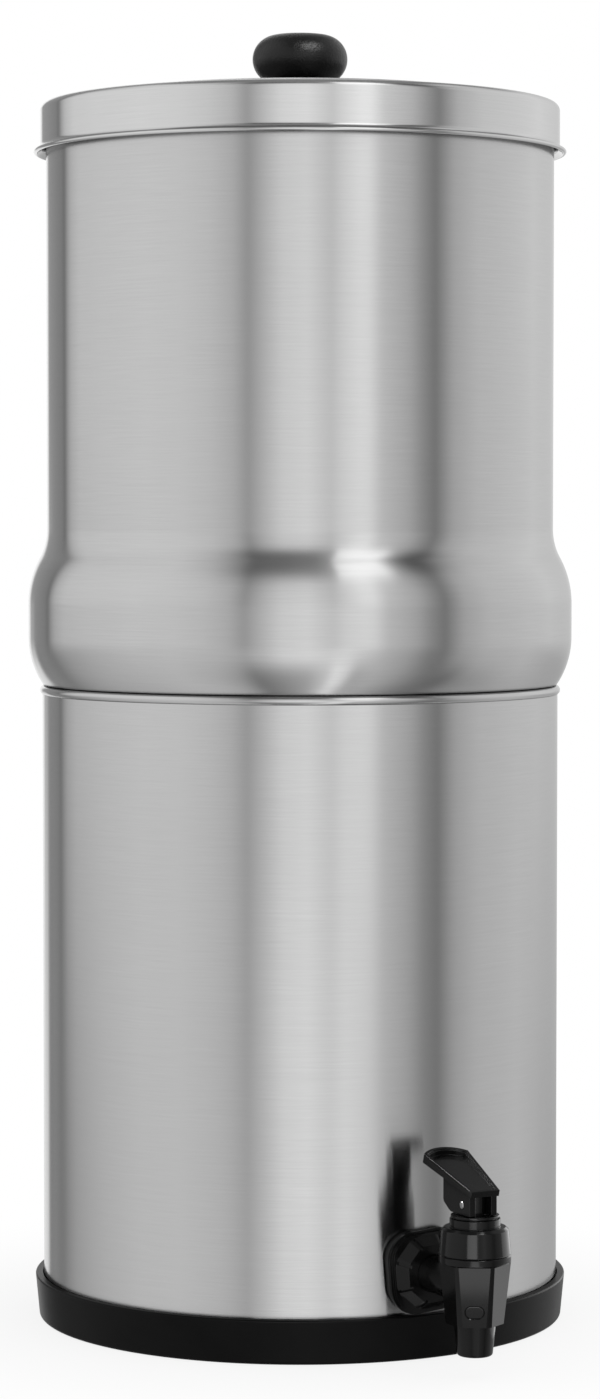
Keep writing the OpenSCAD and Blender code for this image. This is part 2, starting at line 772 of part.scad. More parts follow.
module tap_body() {
    end_r = body_end_d / 2;
    top_r = body_d / 2;
    shank_end = nut_y - tap_nut_h - shank_tail;
    nozzle_z = body_low - nozzle_h;
    color(black)
        difference() {
            union() {
                at_tap()
                    difference() {
                        turned([
                            [0, body_low], [end_r, body_low], [top_r, cone_top], [top_r, body_top],
                            [0, body_top]
                        ]);
                        flats(flats_n, body_low, flats_top, flats_end_w / 2, flats_top_w / 2,
                              body_d, 2 * body_d);
                        rotate([0, 0, mark_angle])
                            translate([mark_r, 0, body_low + mark_up])
                                rotate([0, 90 + flats_tilt, 0])
                                    linear_extrude(body_d) thumb_mark();
                    }
                at_tap()
                    turned(concat(
                        [[0, nozzle_z]],
                        arc([nozzle_end_d / 2 - nozzle_edge_r, nozzle_z + nozzle_edge_r],
                            nozzle_edge_r, -90, 0),
                        [[nozzle_d / 2, body_low], [0, body_low + over]]
                    ));
                along_shank(shank_end) cylinder(d = shank_d, h = tap_r - shank_end, $fn = 64);
            }
            at_tap() {
                translate([0, 0, nozzle_z - over])
                    cylinder(d = outlet_d, h = nozzle_h + seat_up + 2 * over, $fn = 64);
                translate([0, 0, seat_z]) cylinder(d = body_bore_d, h = body_top - seat_z + over, $fn = 64);
                translate([0, 0, skirt_z])
                    cylinder(d = skirt_d + 2 * shank_gap, h = skirt_h + over, $fn = 64);
            }
            along_shank(shank_end - over) cylinder(d = shank_way_d, h = tap_r - shank_end + over, $fn = 64);
        }
}

module thumb_mark() {
    for (side = [-1, 1]) translate([0, side * (mark_w - mark_h) / 2]) circle(d = mark_h, $fn = 48);
    square([mark_h, mark_w - mark_h], center = true);
}

module tap_bonnet() {
    top_r = bonnet_top_d / 2;
    color(black)
        at_tap()
            turned([
                [pocket_r, skirt_z], [skirt_d / 2, skirt_z], [skirt_d / 2, body_top], [body_d / 2, body_top],
                [top_r, bonnet_top - bonnet_bevel], [top_r - bonnet_bevel, bonnet_top],
                [neck_d / 2, bonnet_top], [neck_d / 2, neck_top], [neck_groove_d / 2, neck_top],
                [neck_groove_d / 2, groove_top], [track_d / 2, groove_top], [track_d / 2, track_top], [stem_d / 2 + run_gap, track_top], [stem_d / 2 + run_gap, roof_z],
                [pocket_r, roof_z]
            ]);
}

module tap_seat_cup() {
    cup_r = cup_d / 2;
    foot_z = seat_z + cup_floor_t;
    color(silicone)
        at_tap()
            turned([
                [0, seat_z], [cup_r - 1, seat_z], [cup_r, seat_z + 2], [cup_r, cup_top],
                [waist_d / 2 + cup_gap, cup_top], [waist_d / 2 + cup_gap, cup_top - cup_lip_t],
                [foot_d / 2 + cup_gap, cup_top - cup_lip_t], [foot_d / 2 + cup_gap, foot_z], [0, foot_z]
            ]);
}

module tap_stem() {
    foot_z = seat_z + cup_floor_t + cup_gap;
    foot_top = cup_top - cup_lip_t - cup_gap;
    waist_top = cup_top + cup_gap;
    color(black)
        at_tap()
            difference() {
                union() {
                    turned([
                        [0, foot_z], [foot_d / 2, foot_z], [foot_d / 2, foot_top], [waist_d / 2, foot_top],
                        [waist_d / 2, waist_top], [stem_d / 2, waist_top], [stem_d / 2, tongue_z],
                        [0, tongue_z]
                    ]);
                    intersection() {
                        translate([0, 0, tongue_z - over])
                            cylinder(d = stem_d, h = pin_z + stem_d - tongue_z, $fn = 64);
                        translate([-tongue_w / 2, 0, pin_z])
                            rotate([90, 0, 90])
                                linear_extrude(tongue_w)
                                    union() {
                                        circle(r = tongue_r, $fn = 64);
                                        translate([-stem_d, -stem_d]) square([2 * stem_d, stem_d]);
                                    }
                    }
                }
                translate([-stem_d, 0, pin_z])
                    rotate([0, 90, 0]) cylinder(d = pin_d, h = 2 * stem_d, $fn = 48);
            }
}

module tap_handle_pin() {
    color(steel)
        at_tap()
            translate([-fork_w / 2, 0, pin_z]) rotate([0, 90, 0]) cylinder(d = pin_d, h = fork_w, $fn = 48);
}

// A coil spring about the tap's upright axis: a ring of section_n points is swept along its helix
module tap_spring() {
    r = spring_d / 2;
    wire_r = spring_wire / 2;
    low = cup_top + spring_gap + wire_r;
    rise = roof_z - spring_gap - wire_r - low;
    steps = spring_turns * ring_n;
    points = [
        for (i = [0:steps], j = [0:section_n - 1])
            let (a = 360 * i / ring_n, b = 360 * j / section_n, rho = r + wire_r * cos(b))
            [rho * cos(a), rho * sin(a), low + rise * i / steps + wire_r * sin(b)]
    ];
    sides = [
        for (i = [0:steps - 1], j = [0:section_n - 1])
            let (k = (j + 1) % section_n)
            [i * section_n + j, (i + 1) * section_n + j, (i + 1) * section_n + k, i * section_n + k]
    ];
    first = [for (j = [0:section_n - 1]) j];
    last = [for (j = [section_n - 1:-1:0]) steps * section_n + j];
    color(steel) at_tap() polyhedron(points = points, faces = concat(sides, [first, last]));
}

// Point of the lever's cam that touches its track at a tip of a: its height grows by cam_rise for each radian
function cam_point(a) =
    (pin_up + cam_rise * a * PI / 180) * [sin(a), -cos(a)] + cam_rise * [cos(a), sin(a)];

// Outline of one cheek about the pin: a flat foot, its cam, then a round corner into an upright back
module cheek_outline() {
    last = cam_point(cam_end);
    corner_y = cheek_back - cheek_corner_r;
    corner_z = last[1] + (cheek_corner_r + (corner_y - last[0]) * sin(cam_end)) / cos(cam_end);
    polygon(concat(
        [[-cheek_front, -pin_up]],
        [for (i = [0:cam_n]) cam_point(cam_end * i / cam_n)],
        arc([corner_y, corner_z], cheek_corner_r, cam_end - 90, 0),
        [[cheek_back, pad_up + cheek_back * tan(pad_slope) + over]],
        [[-cheek_front, pad_up - cheek_front * tan(pad_slope) + over]]
    ));
}

// Outline of the thumb pad, grown by g, with its front edge at 0 and its thumb end at +Y
module pad_outline(g) {
    half = pad_w / 2;
    end_r = (half * half + pad_end_bulge * pad_end_bulge) / (2 * pad_end_bulge);
    end_a = asin(half / end_r);
    side = (pad_w - pad_front_w) / 2 / pad_side_l;
    front_x = pad_front_w / 2 + g * (sqrt(1 + side * side) - side);
    back_x = half + g;
    polygon(concat(
        [[-front_x, -g], [front_x, -g]],
        [for (p = arc([0, pad_side_l + pad_end_bulge - end_r], end_r + g, 90 - end_a, 90 + end_a))
            [min(max(p[0], -back_x), back_x), p[1]]]
    ));
}

module tap_handle() {
    cheek_t = (fork_w - fork_slot_w) / 2;
    dish_a = atan2(dish_back - dish_front, pad_side_l);
    color(black)
        at_tap()
            translate([0, 0, pin_z])
                difference() {
                    union() {
                        for (x = [-fork_w / 2, fork_w / 2 - cheek_t])
                            translate([x, 0, 0])
                                rotate([90, 0, 90]) linear_extrude(cheek_t) cheek_outline();
                        pad_place()
                            difference() {
                                linear_extrude(2 * pad_t) pad_outline(0);
                                translate([-pad_w, 0, pad_t])
                                    rotate([pad_taper, 0, 0])
                                        translate([0, -over, 0]) cube([2 * pad_w, 2 * pad_side_l, 2 * pad_t]);
                            }
                    }
                    pad_place()
                        translate([0, 0, pad_t - dish_front])
                            rotate([pad_taper - dish_a, 0, 0])
                                linear_extrude(pad_t * 2) pad_outline(-pad_rim_w);
                    translate([-fork_w, 0, 0])
                        rotate([0, 90, 0]) cylinder(d = pin_d + 2 * run_gap, h = 2 * fork_w, $fn = 48);
                }
}

// Places a shape drawn flat, front edge at the origin, on the slope of the thumb pad
module pad_place() {
    translate([0, 0, pad_up]) rotate([pad_slope, 0, 0]) translate([0, -pad_front, 0]) children();
}

base_ring();
lower_chamber();
upper_chamber();
lid();
lid_knob();
lid_knob_washer();
lid_knob_screw();
filter_base(0);  // filter_base_1
filter_base(1);  // filter_base_2
filter_block(0);  // filter_block_1
filter_block(1);  // filter_block_2
filter_cap(0);  // filter_cap_1
filter_cap(1);  // filter_cap_2
filter_washers();
filter_wing_nuts();
blocking_plugs();
tap_body();
tap_flange();
tap_gasket();
tap_inner_washer();
tap_nut();
tap_bonnet();
tap_seat_cup();
tap_spring();
tap_stem();
tap_handle_pin();
tap_handle();
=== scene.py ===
"""Looks of a stacked steel water filter with a lid, a rubber base ring and a black lever tap."""
import math

import bmesh
import bpy
from mathutils import Matrix, Vector


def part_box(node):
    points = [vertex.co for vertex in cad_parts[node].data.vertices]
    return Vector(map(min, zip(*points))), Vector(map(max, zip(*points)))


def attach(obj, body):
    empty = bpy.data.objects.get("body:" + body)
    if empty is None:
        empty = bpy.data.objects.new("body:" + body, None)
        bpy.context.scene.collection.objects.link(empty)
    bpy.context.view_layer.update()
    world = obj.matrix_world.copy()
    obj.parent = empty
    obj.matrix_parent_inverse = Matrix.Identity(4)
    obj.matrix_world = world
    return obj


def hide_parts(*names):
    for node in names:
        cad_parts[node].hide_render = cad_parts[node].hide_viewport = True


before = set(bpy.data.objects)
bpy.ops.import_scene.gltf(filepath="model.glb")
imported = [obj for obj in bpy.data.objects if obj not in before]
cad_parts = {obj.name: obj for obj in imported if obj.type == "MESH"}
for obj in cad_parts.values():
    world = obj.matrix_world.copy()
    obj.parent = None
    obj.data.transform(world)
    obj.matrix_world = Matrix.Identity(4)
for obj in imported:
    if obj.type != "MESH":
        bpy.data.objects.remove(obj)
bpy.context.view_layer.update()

# The frame's plain materials go. Every piece and every kept node gets its own further down.
for plain_material in list(bpy.data.materials):
    bpy.data.materials.remove(plain_material)

MM = 0.001

# Steps of round work
ROUND = 256              # points round a chamber
SMALL_ROUND = 96         # points round a tap piece
PIN_ROUND = 48           # points round the lever's pin
ARC_STEP = 5             # degrees between the points of an outline's arc
BEAD_STEP = 15           # the same, on beads and small fillets
SHANK_STEP = 4           # the same, round the tap's shank
OVER = 1 * MM            # how far a cutter runs past what it cuts
SAME_POINT = 0.001 * MM  # points that are nearer than this become one


# ---------------------------------------------------------------- outlines

def arc(centre, radius, start, end, step=ARC_STEP):
    """Points of an arc about centre, from angle start to angle end, in degrees."""
    count = max(2, math.ceil(abs(end - start) / step))
    angles = [math.radians(start + (end - start) * i / count) for i in range(count + 1)]
    return [Vector((centre[0] + radius * math.cos(a), centre[1] + radius * math.sin(a))) for a in angles]


def circle(radius, step=ARC_STEP):
    return arc((0, 0), radius, 0, 360 - step, step)


def points(*pairs):
    return [Vector(pair) for pair in pairs]


def polar(radius, turn, z):
    """The point at a radius from the upright axis, turned from +X by turn radians, at height z."""
    return Vector((radius * math.cos(turn), radius * math.sin(turn), z))


def offset(path, distance):
    """The same open path, moved to its left."""
    steps = [(end - start).normalized() for start, end in zip(path, path[1:])]
    moved = []
    for here, before, after in zip(path, steps[:1] + steps, steps + steps[-1:]):
        turned = Vector((-before.y - after.y, before.x + after.x))
        moved.append(here + turned * (2 * distance / turned.length_squared))
    return moved


# ---------------------------------------------------------------- meshes

FACE_SIZE_WEIGHT = 100  # the most: large faces decide the shading of their edges


def add_object(name, data):
    made = bpy.data.objects.new(name, data)
    bpy.context.scene.collection.objects.link(made)
    return made


def skin(name, rings, closed=True, capped=False, place=None):
    """A mesh through rings of equally many points. Points that coincide become one."""
    mesh = bpy.data.meshes.new(name)
    work = bmesh.new()
    rows = [[work.verts.new(p) for p in ring] for ring in rings]
    pairs = list(zip(rows, rows[1:] + rows[:1]))
    for low, high in pairs if closed else pairs[:-1]:
        for i in range(len(low)):
            j = (i + 1) % len(low)
            work.faces.new((low[i], low[j], high[j], high[i]))
    if capped:
        work.faces.new(rows[0][::-1])
        work.faces.new(rows[-1])
    bmesh.ops.remove_doubles(work, verts=work.verts, dist=SAME_POINT)
    bmesh.ops.recalc_face_normals(work, faces=work.faces)
    work.to_mesh(mesh)
    work.free()
    if place:
        mesh.transform(place)
    return add_object(name, mesh)


def lathe(name, outline, segments=ROUND, place=None):
    """Turns a closed outline of (radius, height) points about the upright axis."""
    turns = [2 * math.pi * i / segments for i in range(segments)]
    return skin(name, [[polar(p.x, turn, p.y) for turn in turns] for p in outline], place=place)


def prism(name, outline, low, high, place=None):
    """A flat outline of (x, y) points, drawn out from height low to height high."""
    rings = [[Vector((p.x, p.y, z)) for p in outline] for z in (low, high)]
    return skin(name, rings, closed=False, capped=True, place=place)


def apply_modifiers(piece):
    """Writes what the modifiers make of a piece into its mesh."""
    bpy.context.view_layer.update()
    shown = piece.evaluated_get(bpy.context.evaluated_depsgraph_get())
    piece.data = bpy.data.meshes.new_from_object(shown)
    piece.modifiers.clear()


def combine(piece, operation, *tools):
    """Adds the tools to a piece or cuts them out of it, and deletes them."""
    for tool in tools:
        step = piece.modifiers.new("combine", "BOOLEAN")
        step.operation = operation
        step.solver = "EXACT"
        step.object = tool
        apply_modifiers(piece)
        bpy.data.objects.remove(tool)


def round_edges(piece, width, angle, segments=3):
    """Rounds the edges that turn by more than angle degrees."""
    bevel = piece.modifiers.new("round_edges", "BEVEL")
    bevel.width = width
    bevel.segments = segments
    bevel.limit_method = "ANGLE"
    bevel.angle_limit = math.radians(angle)
    apply_modifiers(piece)


def smooth(piece, angle=35):
    """Shades a piece smooth. Flats stay flat, and edges that turn by more than angle degrees stay sharp."""
    piece.data.shade_smooth()
    piece.data.set_sharp_from_angle(angle=math.radians(angle))
    even = piece.modifiers.new("even_shading", "WEIGHTED_NORMAL")
    even.weight = FACE_SIZE_WEIGHT
    even.keep_sharp = True


def finish_piece(piece, body, material, node):
    """Gives a finished mesh its shading, material and body, and hides the CAD node that it stands for."""
    smooth(piece)
    piece.data.materials.clear()
    piece.data.materials.append(material)
    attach(piece, body)
    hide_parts(node)
    return piece


# ---------------------------------------------------------------- materials

NOISE_LOW, NOISE_HIGH = 0.3, 0.7  # between these lies nearly all of a noise
AXIS_GUARD = 4 * MM               # least radius that a brushed line's direction is worked out from


class Shader:
    """A node material, with short calls for the nodes that it needs."""

    def __init__(self, name):
        self.material = bpy.data.materials.new(name)
        self.material.use_nodes = True
        self.tree = self.material.node_tree
        self.surface = self.tree.nodes["Principled BSDF"]
        self.place = self.add("TexCoord").outputs["Object"]

    def add(self, kind, **settings):
        node = self.tree.nodes.new("ShaderNode" + kind)
        for key, value in settings.items():
            setattr(node, key, value)
        return node

    def feed(self, socket, value):
        """Links another node's output to a socket, or sets the socket to a number."""
        if isinstance(value, bpy.types.NodeSocket):
            self.tree.links.new(value, socket)
        else:
            socket.default_value = value

    def math(self, operation, *values):
        node = self.add("Math", operation=operation)
        for socket, value in zip(node.inputs, values):
            self.feed(socket, value)
        return node.outputs[0]

    def parts(self, vector):
        node = self.add("SeparateXYZ")
        self.feed(node.inputs[0], vector)
        return node.outputs

    def weigh(self, first, share, second):
        """A mean in which first counts by its share and second by the rest."""
        rest = self.math("MULTIPLY", second, 1 - share)
        return self.math("ADD", self.math("MULTIPLY", first, share), rest)

    def noise(self, scale, detail=2, roughness=0.5, vector=None, w=None):
        node = self.add("TexNoise", noise_dimensions="3D" if w is None else "4D")
        self.feed(node.inputs["Vector"], vector or self.place)
        if w is not None:
            self.feed(node.inputs["W"], w)
        node.inputs["Scale"].default_value = scale
        node.inputs["Detail"].default_value = detail
        node.inputs["Roughness"].default_value = roughness
        return node.outputs["Fac"]

    def spread(self, value, low, high, start=0.0, end=1.0, kind="LINEAR"):
        """Maps value from start..end to low..high."""
        node = self.add("MapRange", interpolation_type=kind)
        for socket, given in zip(node.inputs, (value, start, end, low, high)):
            self.feed(socket, given)
        return node.outputs[0]

    def vary(self, noise, low, high):
        """Maps the usual range of a noise to low..high."""
        return self.spread(noise, low, high, NOISE_LOW, NOISE_HIGH)

    def tint(self, fac, first, second):
        """A colour between two others. Inputs 6 and 7 of the node are its colours."""
        node = self.add("Mix", data_type="RGBA")
        self.feed(node.inputs["Factor"], fac)
        node.inputs[6].default_value = (*first, 1)
        node.inputs[7].default_value = (*second, 1)
        return node.outputs[2]

    def bump(self, height, strength, distance, after=None):
        node = self.add("Bump")
        node.inputs["Strength"].default_value = strength
        node.inputs["Distance"].default_value = distance
        self.feed(node.inputs["Height"], height)
        if after:
            self.feed(node.inputs["Normal"], after)
        return node.outputs[0]

    def set(self, **sockets):
        """Feeds the surface's sockets, with _ for each space in their names."""
        for name, value in sockets.items():
            self.feed(self.surface.inputs[name.replace("_", " ")], value)
        return self.material


def grey(level):
    return (level, level, level)


def brushed_steel(name, level, roughness):
    """Sheet steel that was brushed while it turned, so that its lines run round the upright axis."""
    s = Shader(name)
    x, y, z = s.parts(s.place)
    r = s.math("SQRT", s.math("ADD", s.math("MULTIPLY", x, x), s.math("MULTIPLY", y, y)))
    guarded_r = s.math("MAXIMUM", r, AXIS_GUARD)
    turn_x, turn_y = (s.math("DIVIDE", side, guarded_r) for side in (x, y))

    def lines(spacing, run):
        """Noise that changes every spacing metres across the lines and run times a radian along them."""
        vector = s.add("CombineXYZ")
        s.feed(vector.inputs[0], s.math("MULTIPLY", turn_x, run))
        s.feed(vector.inputs[1], s.math("MULTIPLY", turn_y, run))
        s.feed(vector.inputs[2], s.math("DIVIDE", z, spacing))
        return s.noise(1, roughness=0.6, vector=vector.outputs[0], w=s.math("DIVIDE", r, spacing))

    fine = lines(spacing=0.3 * MM, run=5)
    coarse = lines(spacing=1.6 * MM, run=2.2)
    clouds = s.noise(16, detail=3, roughness=0.55)
    mixed = s.weigh(s.weigh(fine, 0.8, coarse), 0.75, clouds)
    colour = s.tint(s.vary(mixed, 0, 1), grey(level * 0.965), grey(level * 1.035))
    rough = s.vary(mixed, roughness + 0.02, roughness - 0.02)
    waves = s.bump(s.noise(7, detail=1, roughness=0.4), strength=0.2, distance=0.5 * MM)
    normal = s.bump(fine, strength=0.08, distance=0.012 * MM, after=waves)
    tangent = s.add("Tangent", direction_type="RADIAL", axis="Z").outputs[0]
    return s.set(Base_Color=colour, Metallic=1.0, Roughness=rough, Anisotropic=0.97,
                 Anisotropic_Rotation=0.25, Tangent=tangent, Normal=normal)


def plain_metal(name, level, roughness):
    """Turned or pressed hardware with a fine uneven polish."""
    s = Shader(name)
    grain = s.noise(900, detail=3)
    return s.set(Base_Color=s.tint(grain, grey(level * 0.86), grey(level)), Metallic=1.0,
                 Roughness=s.spread(grain, roughness - 0.06, roughness + 0.08),
                 Normal=s.bump(grain, strength=0.15, distance=0.02 * MM))


def moulded_plastic(name, low, high, roughness, shine, grain_size, grain_depth):
    """Moulded plastic with a spark-eroded grain and faint handling marks."""
    s = Shader(name)
    grain = s.noise(1 / grain_size, detail=3, roughness=0.6)
    marks = s.noise(60, detail=4, roughness=0.6)
    rough = s.math("ADD", s.spread(marks, roughness - 0.04, roughness + 0.05), s.spread(grain, -0.03, 0.03))
    return s.set(Base_Color=s.tint(marks, low, high), Roughness=rough, IOR=1.5, Specular_IOR_Level=shine,
                 Normal=s.bump(grain, strength=1.0, distance=grain_depth))


def moulded_rubber(name, low, high, roughness, shine):
    """Matt rubber with mould bloom."""
    s = Shader(name)
    bloom = s.noise(45, detail=5, roughness=0.65)
    grain = s.noise(1400, detail=3, roughness=0.6)
    return s.set(Base_Color=s.tint(s.vary(bloom, 0, 1), low, high), IOR=1.5, Specular_IOR_Level=shine,
                 Roughness=s.spread(bloom, roughness + 0.06, roughness - 0.06),
                 Normal=s.bump(grain, strength=0.5, distance=0.04 * MM))


def silicone_rubber(name):
    """Milky silicone that lets a little light in."""
    s = Shader(name)
    haze = s.noise(220, detail=3)
    return s.set(Base_Color=s.tint(haze, (0.62, 0.62, 0.59), (0.78, 0.78, 0.75)), Subsurface_Weight=0.3,
                 Subsurface_Scale=2 * MM, Roughness=s.spread(haze, 0.38, 0.52))


def filter_medium(name):
    """Pressed ceramic filter medium: pale, matt and finely pored."""
    s = Shader(name)
    pores = s.noise(1600, detail=4, roughness=0.7)
    stains = s.noise(25, detail=4)
    return s.set(Base_Color=s.tint(stains, (0.68, 0.64, 0.55), (0.8, 0.77, 0.69)),
                 Roughness=s.spread(pores, 0.78, 0.95),
                 Normal=s.bump(pores, strength=0.6, distance=0.08 * MM))


CHAMBER_STEEL = brushed_steel("chamber_steel", level=0.56, roughness=0.17)
LID_STEEL = brushed_steel("lid_steel", level=0.64, roughness=0.15)
HARDWARE_STEEL = plain_metal("hardware_steel", level=0.62, roughness=0.26)
BASE_RUBBER = moulded_rubber("base_rubber", grey(0.0015), grey(0.003), roughness=0.34, shine=0.08)
SEAL_RUBBER = moulded_rubber("seal_rubber", grey(0.02), grey(0.035), roughness=0.6, shine=0.4)
SILICONE = silicone_rubber("silicone")
KNOB_PLASTIC = moulded_plastic("knob_plastic", grey(0.002), grey(0.004), roughness=0.28, shine=0.34,
                               grain_size=0.9 * MM, grain_depth=0.2 * MM)
TAP_PLASTIC = moulded_plastic("tap_plastic", grey(0.002), grey(0.004), roughness=0.13, shine=0.2,
                              grain_size=0.4 * MM, grain_depth=0.003 * MM)
FILTER_PLASTIC = moulded_plastic("filter_plastic", (0.09, 0.1, 0.115), (0.13, 0.14, 0.155), roughness=0.36,
                                 shine=0.5, grain_size=0.5 * MM, grain_depth=0.02 * MM)
FILTER_CERAMIC = filter_medium("filter_ceramic")


# ---------------------------------------------------------------- where the frame puts the tap

SHANK_R = 7.5 * MM
SHANK_GAP = 0.1 * MM  # round the shank, in the wall and in the flange
SHANK_HOLE_R = SHANK_R + SHANK_GAP

body_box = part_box("tap_body")
flange_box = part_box("tap_flange")
bonnet_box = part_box("tap_bonnet")
pin_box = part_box("tap_handle_pin")
tap_z = (flange_box[0].z + flange_box[1].z) / 2
tap_axis = Vector((0, body_box[0].y + body_box[1].x, 0))
TAP_PLACE = Matrix.Translation(tap_axis)

# Turns a shape drawn along +Z from the vessel's axis so that it lies along the shank, away from the vessel
SHANK_PLACE = Matrix.Translation((0, 0, tap_z)) @ Matrix.Rotation(math.pi / 2, 4, "X")


# ---------------------------------------------------------------- chambers

SHEET = 1 * MM          # thickness of the steel
RIM_R = 2 * MM          # rolled bead on a rim
RIM_OUT = 1 * MM        # how far the bead stands out from the wall
FLOOR_CORNER_R = 6 * MM
FLOOR_RISE = 3 * MM     # of the lower floor's raised panel
FLOOR_BORDER = 20 * MM  # from the wall to that panel
PANEL_SLOPE = 5 * MM    # width of a raised panel's slope, in the floor and in the lid
WALL_ROWS = 16          # steps up a chamber's straight wall
BAND_ROWS = 5           # steps up a short one

lower_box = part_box("lower_chamber")
upper_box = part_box("upper_chamber")
lower_low, lower_top = lower_box[0].z, lower_box[1].z
lower_r = lower_box[1].x - RIM_OUT
lower_rim = (lower_r + RIM_OUT - RIM_R, lower_top - RIM_R)


def sheet_outline(path, outer_r, rim):
    """Closed outline of sheet metal from its outer face, whose last point gives way to the rim's bead."""
    return path[:-1] + arc(rim, RIM_R, *rim_angles(outer_r, rim), BEAD_STEP) + offset(path, SHEET)[-2::-1]


def rim_angles(outer_r, rim):
    """Angles at which a wall's outer and inner faces run into its rim bead."""
    start = -math.degrees(math.acos((outer_r - rim[0]) / RIM_R))
    end = 360 - math.degrees(math.acos((outer_r - SHEET - rim[0]) / RIM_R))
    return start, end


def wall_rows(r, low, high, count=WALL_ROWS):
    """Points up a straight wall, without its ends."""
    return [Vector((r, low + (high - low) * i / count)) for i in range(1, count)]


def wall_to_rim(outer_r, low, rim):
    """A straight wall's points, up to the one where the rim bead starts."""
    top = rim[1] + RIM_R * math.sin(math.radians(rim_angles(outer_r, rim)[0]))
    return wall_rows(outer_r, low, top) + points((outer_r, top))


def lower_chamber_shell():
    panel_r = lower_r - FLOOR_BORDER
    panel_z = lower_low + FLOOR_RISE
    path = points((0, panel_z), (panel_r - PANEL_SLOPE, panel_z), (panel_r, lower_low))
    path += arc((lower_r - FLOOR_CORNER_R, lower_low + FLOOR_CORNER_R), FLOOR_CORNER_R, -90, 0)
    path += wall_to_rim(lower_r, lower_low + FLOOR_CORNER_R, lower_rim)
    shell = lathe("lower_chamber_shell", sheet_outline(path, lower_r, lower_rim))
    start, end = lower_r - FLOOR_CORNER_R, lower_r + FLOOR_CORNER_R
    combine(shell, "DIFFERENCE", prism("shank_hole", circle(SHANK_HOLE_R), start, end, SHANK_PLACE))
    return finish_piece(shell, "vessel", CHAMBER_STEEL, "lower_chamber")


# The bulge: an arc out, a straight band, an arc back in and a reverse arc into the upper wall
UPPER_STEP = 2.1 * MM  # how much smaller the upper wall's radius is than the lower wall's
SEAT_GAP = 0.3 * MM    # between the shoulder and the lower rim
NEST_GAP = 0.6 * MM    # between the nesting part and the lower rim's bead
SHOULDER_FILLET = 1 * MM
BULGE_LOW_H = 19.8 * MM
BULGE_LOW_R = 35.5 * MM
BULGE_BAND_H = 14 * MM
BULGE_TOP_R = 40 * MM
BULGE_NECK_R = 25 * MM
BULGE_LOW_STEP = 2.5   # degrees
BULGE_STEP = 2         # degrees
FILTER_HOLES = 4
FILTER_RING_R = 50 * MM
FILTER_HOLE_R = 6.5 * MM

upper_r = lower_r - UPPER_STEP
upper_rim = (upper_r + RIM_OUT - RIM_R, upper_box[1].z - RIM_R)
bulge_r = upper_box[1].x
nest_r = lower_rim[0] - RIM_R - NEST_GAP
shoulder_z = lower_top + SEAT_GAP


def upper_chamber_shell():
    floor_z = upper_box[0].z
    reach = BULGE_TOP_R + BULGE_NECK_R
    turn_x = reach - (bulge_r - upper_r)
    turn_z = math.sqrt(reach ** 2 - turn_x ** 2)
    turn = math.degrees(math.atan2(turn_z, turn_x))
    low_turn = math.degrees(math.asin(BULGE_LOW_H / BULGE_LOW_R))
    band_z = shoulder_z + BULGE_LOW_H
    band_top = band_z + BULGE_BAND_H
    neck_z = band_top + turn_z
    path = points((0, floor_z))
    path += arc((nest_r - FLOOR_CORNER_R, floor_z + FLOOR_CORNER_R), FLOOR_CORNER_R, -90, 0)
    fillet = (nest_r + SHOULDER_FILLET, shoulder_z - SHOULDER_FILLET)
    path += arc(fillet, SHOULDER_FILLET, 180, 90, BEAD_STEP)
    path += arc((bulge_r - BULGE_LOW_R, band_z), BULGE_LOW_R, -low_turn, 0, BULGE_LOW_STEP)
    path += wall_rows(bulge_r, band_z, band_top, BAND_ROWS)
    path += arc((bulge_r - BULGE_TOP_R, band_top), BULGE_TOP_R, 0, turn, BULGE_STEP)
    path += arc((upper_r + BULGE_NECK_R, neck_z), BULGE_NECK_R, 180 + turn, 180, BULGE_STEP)[1:]
    path += wall_to_rim(upper_r, neck_z, upper_rim)
    shell = lathe("upper_chamber_shell", sheet_outline(path, upper_r, upper_rim))
    low, high = floor_z - OVER, floor_z + SHEET + OVER
    for hole in range(FILTER_HOLES):
        turned = Matrix.Rotation(2 * math.pi * hole / FILTER_HOLES, 4, "Z")
        place = turned @ Matrix.Translation((FILTER_RING_R, 0, 0))
        combine(shell, "DIFFERENCE", prism("filter_hole", circle(FILTER_HOLE_R), low, high, place))
    return finish_piece(shell, "upper", CHAMBER_STEEL, "upper_chamber")


# ---------------------------------------------------------------- lid and knob

LID_GAP = 0.4 * MM    # between the lid's skirt and the upper rim
LID_CORNER_R = 3 * MM
LID_LIP_R = 0.9 * MM
LID_FLARE = 75        # degrees that the skirt turns outward
LID_RISE = 2.3 * MM   # of the lid's raised panel
LID_BORDER = 16 * MM  # from the skirt to that panel
KNOB_EDGE_R = 10 * MM
KNOB_NECK_R = 10.5 * MM
KNOB_FLARE_R = 2.5 * MM
KNOB_FOOT_H = 1 * MM
KNOB_SCREW_R = 2.6 * MM
KNOB_HOLE_DEPTH = 16 * MM

lid_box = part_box("lid")
knob_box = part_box("lid_knob")
lid_r = upper_r + RIM_OUT + LID_GAP + SHEET
lid_mid_z = knob_box[0].z
lid_top_z = lid_mid_z - LID_RISE


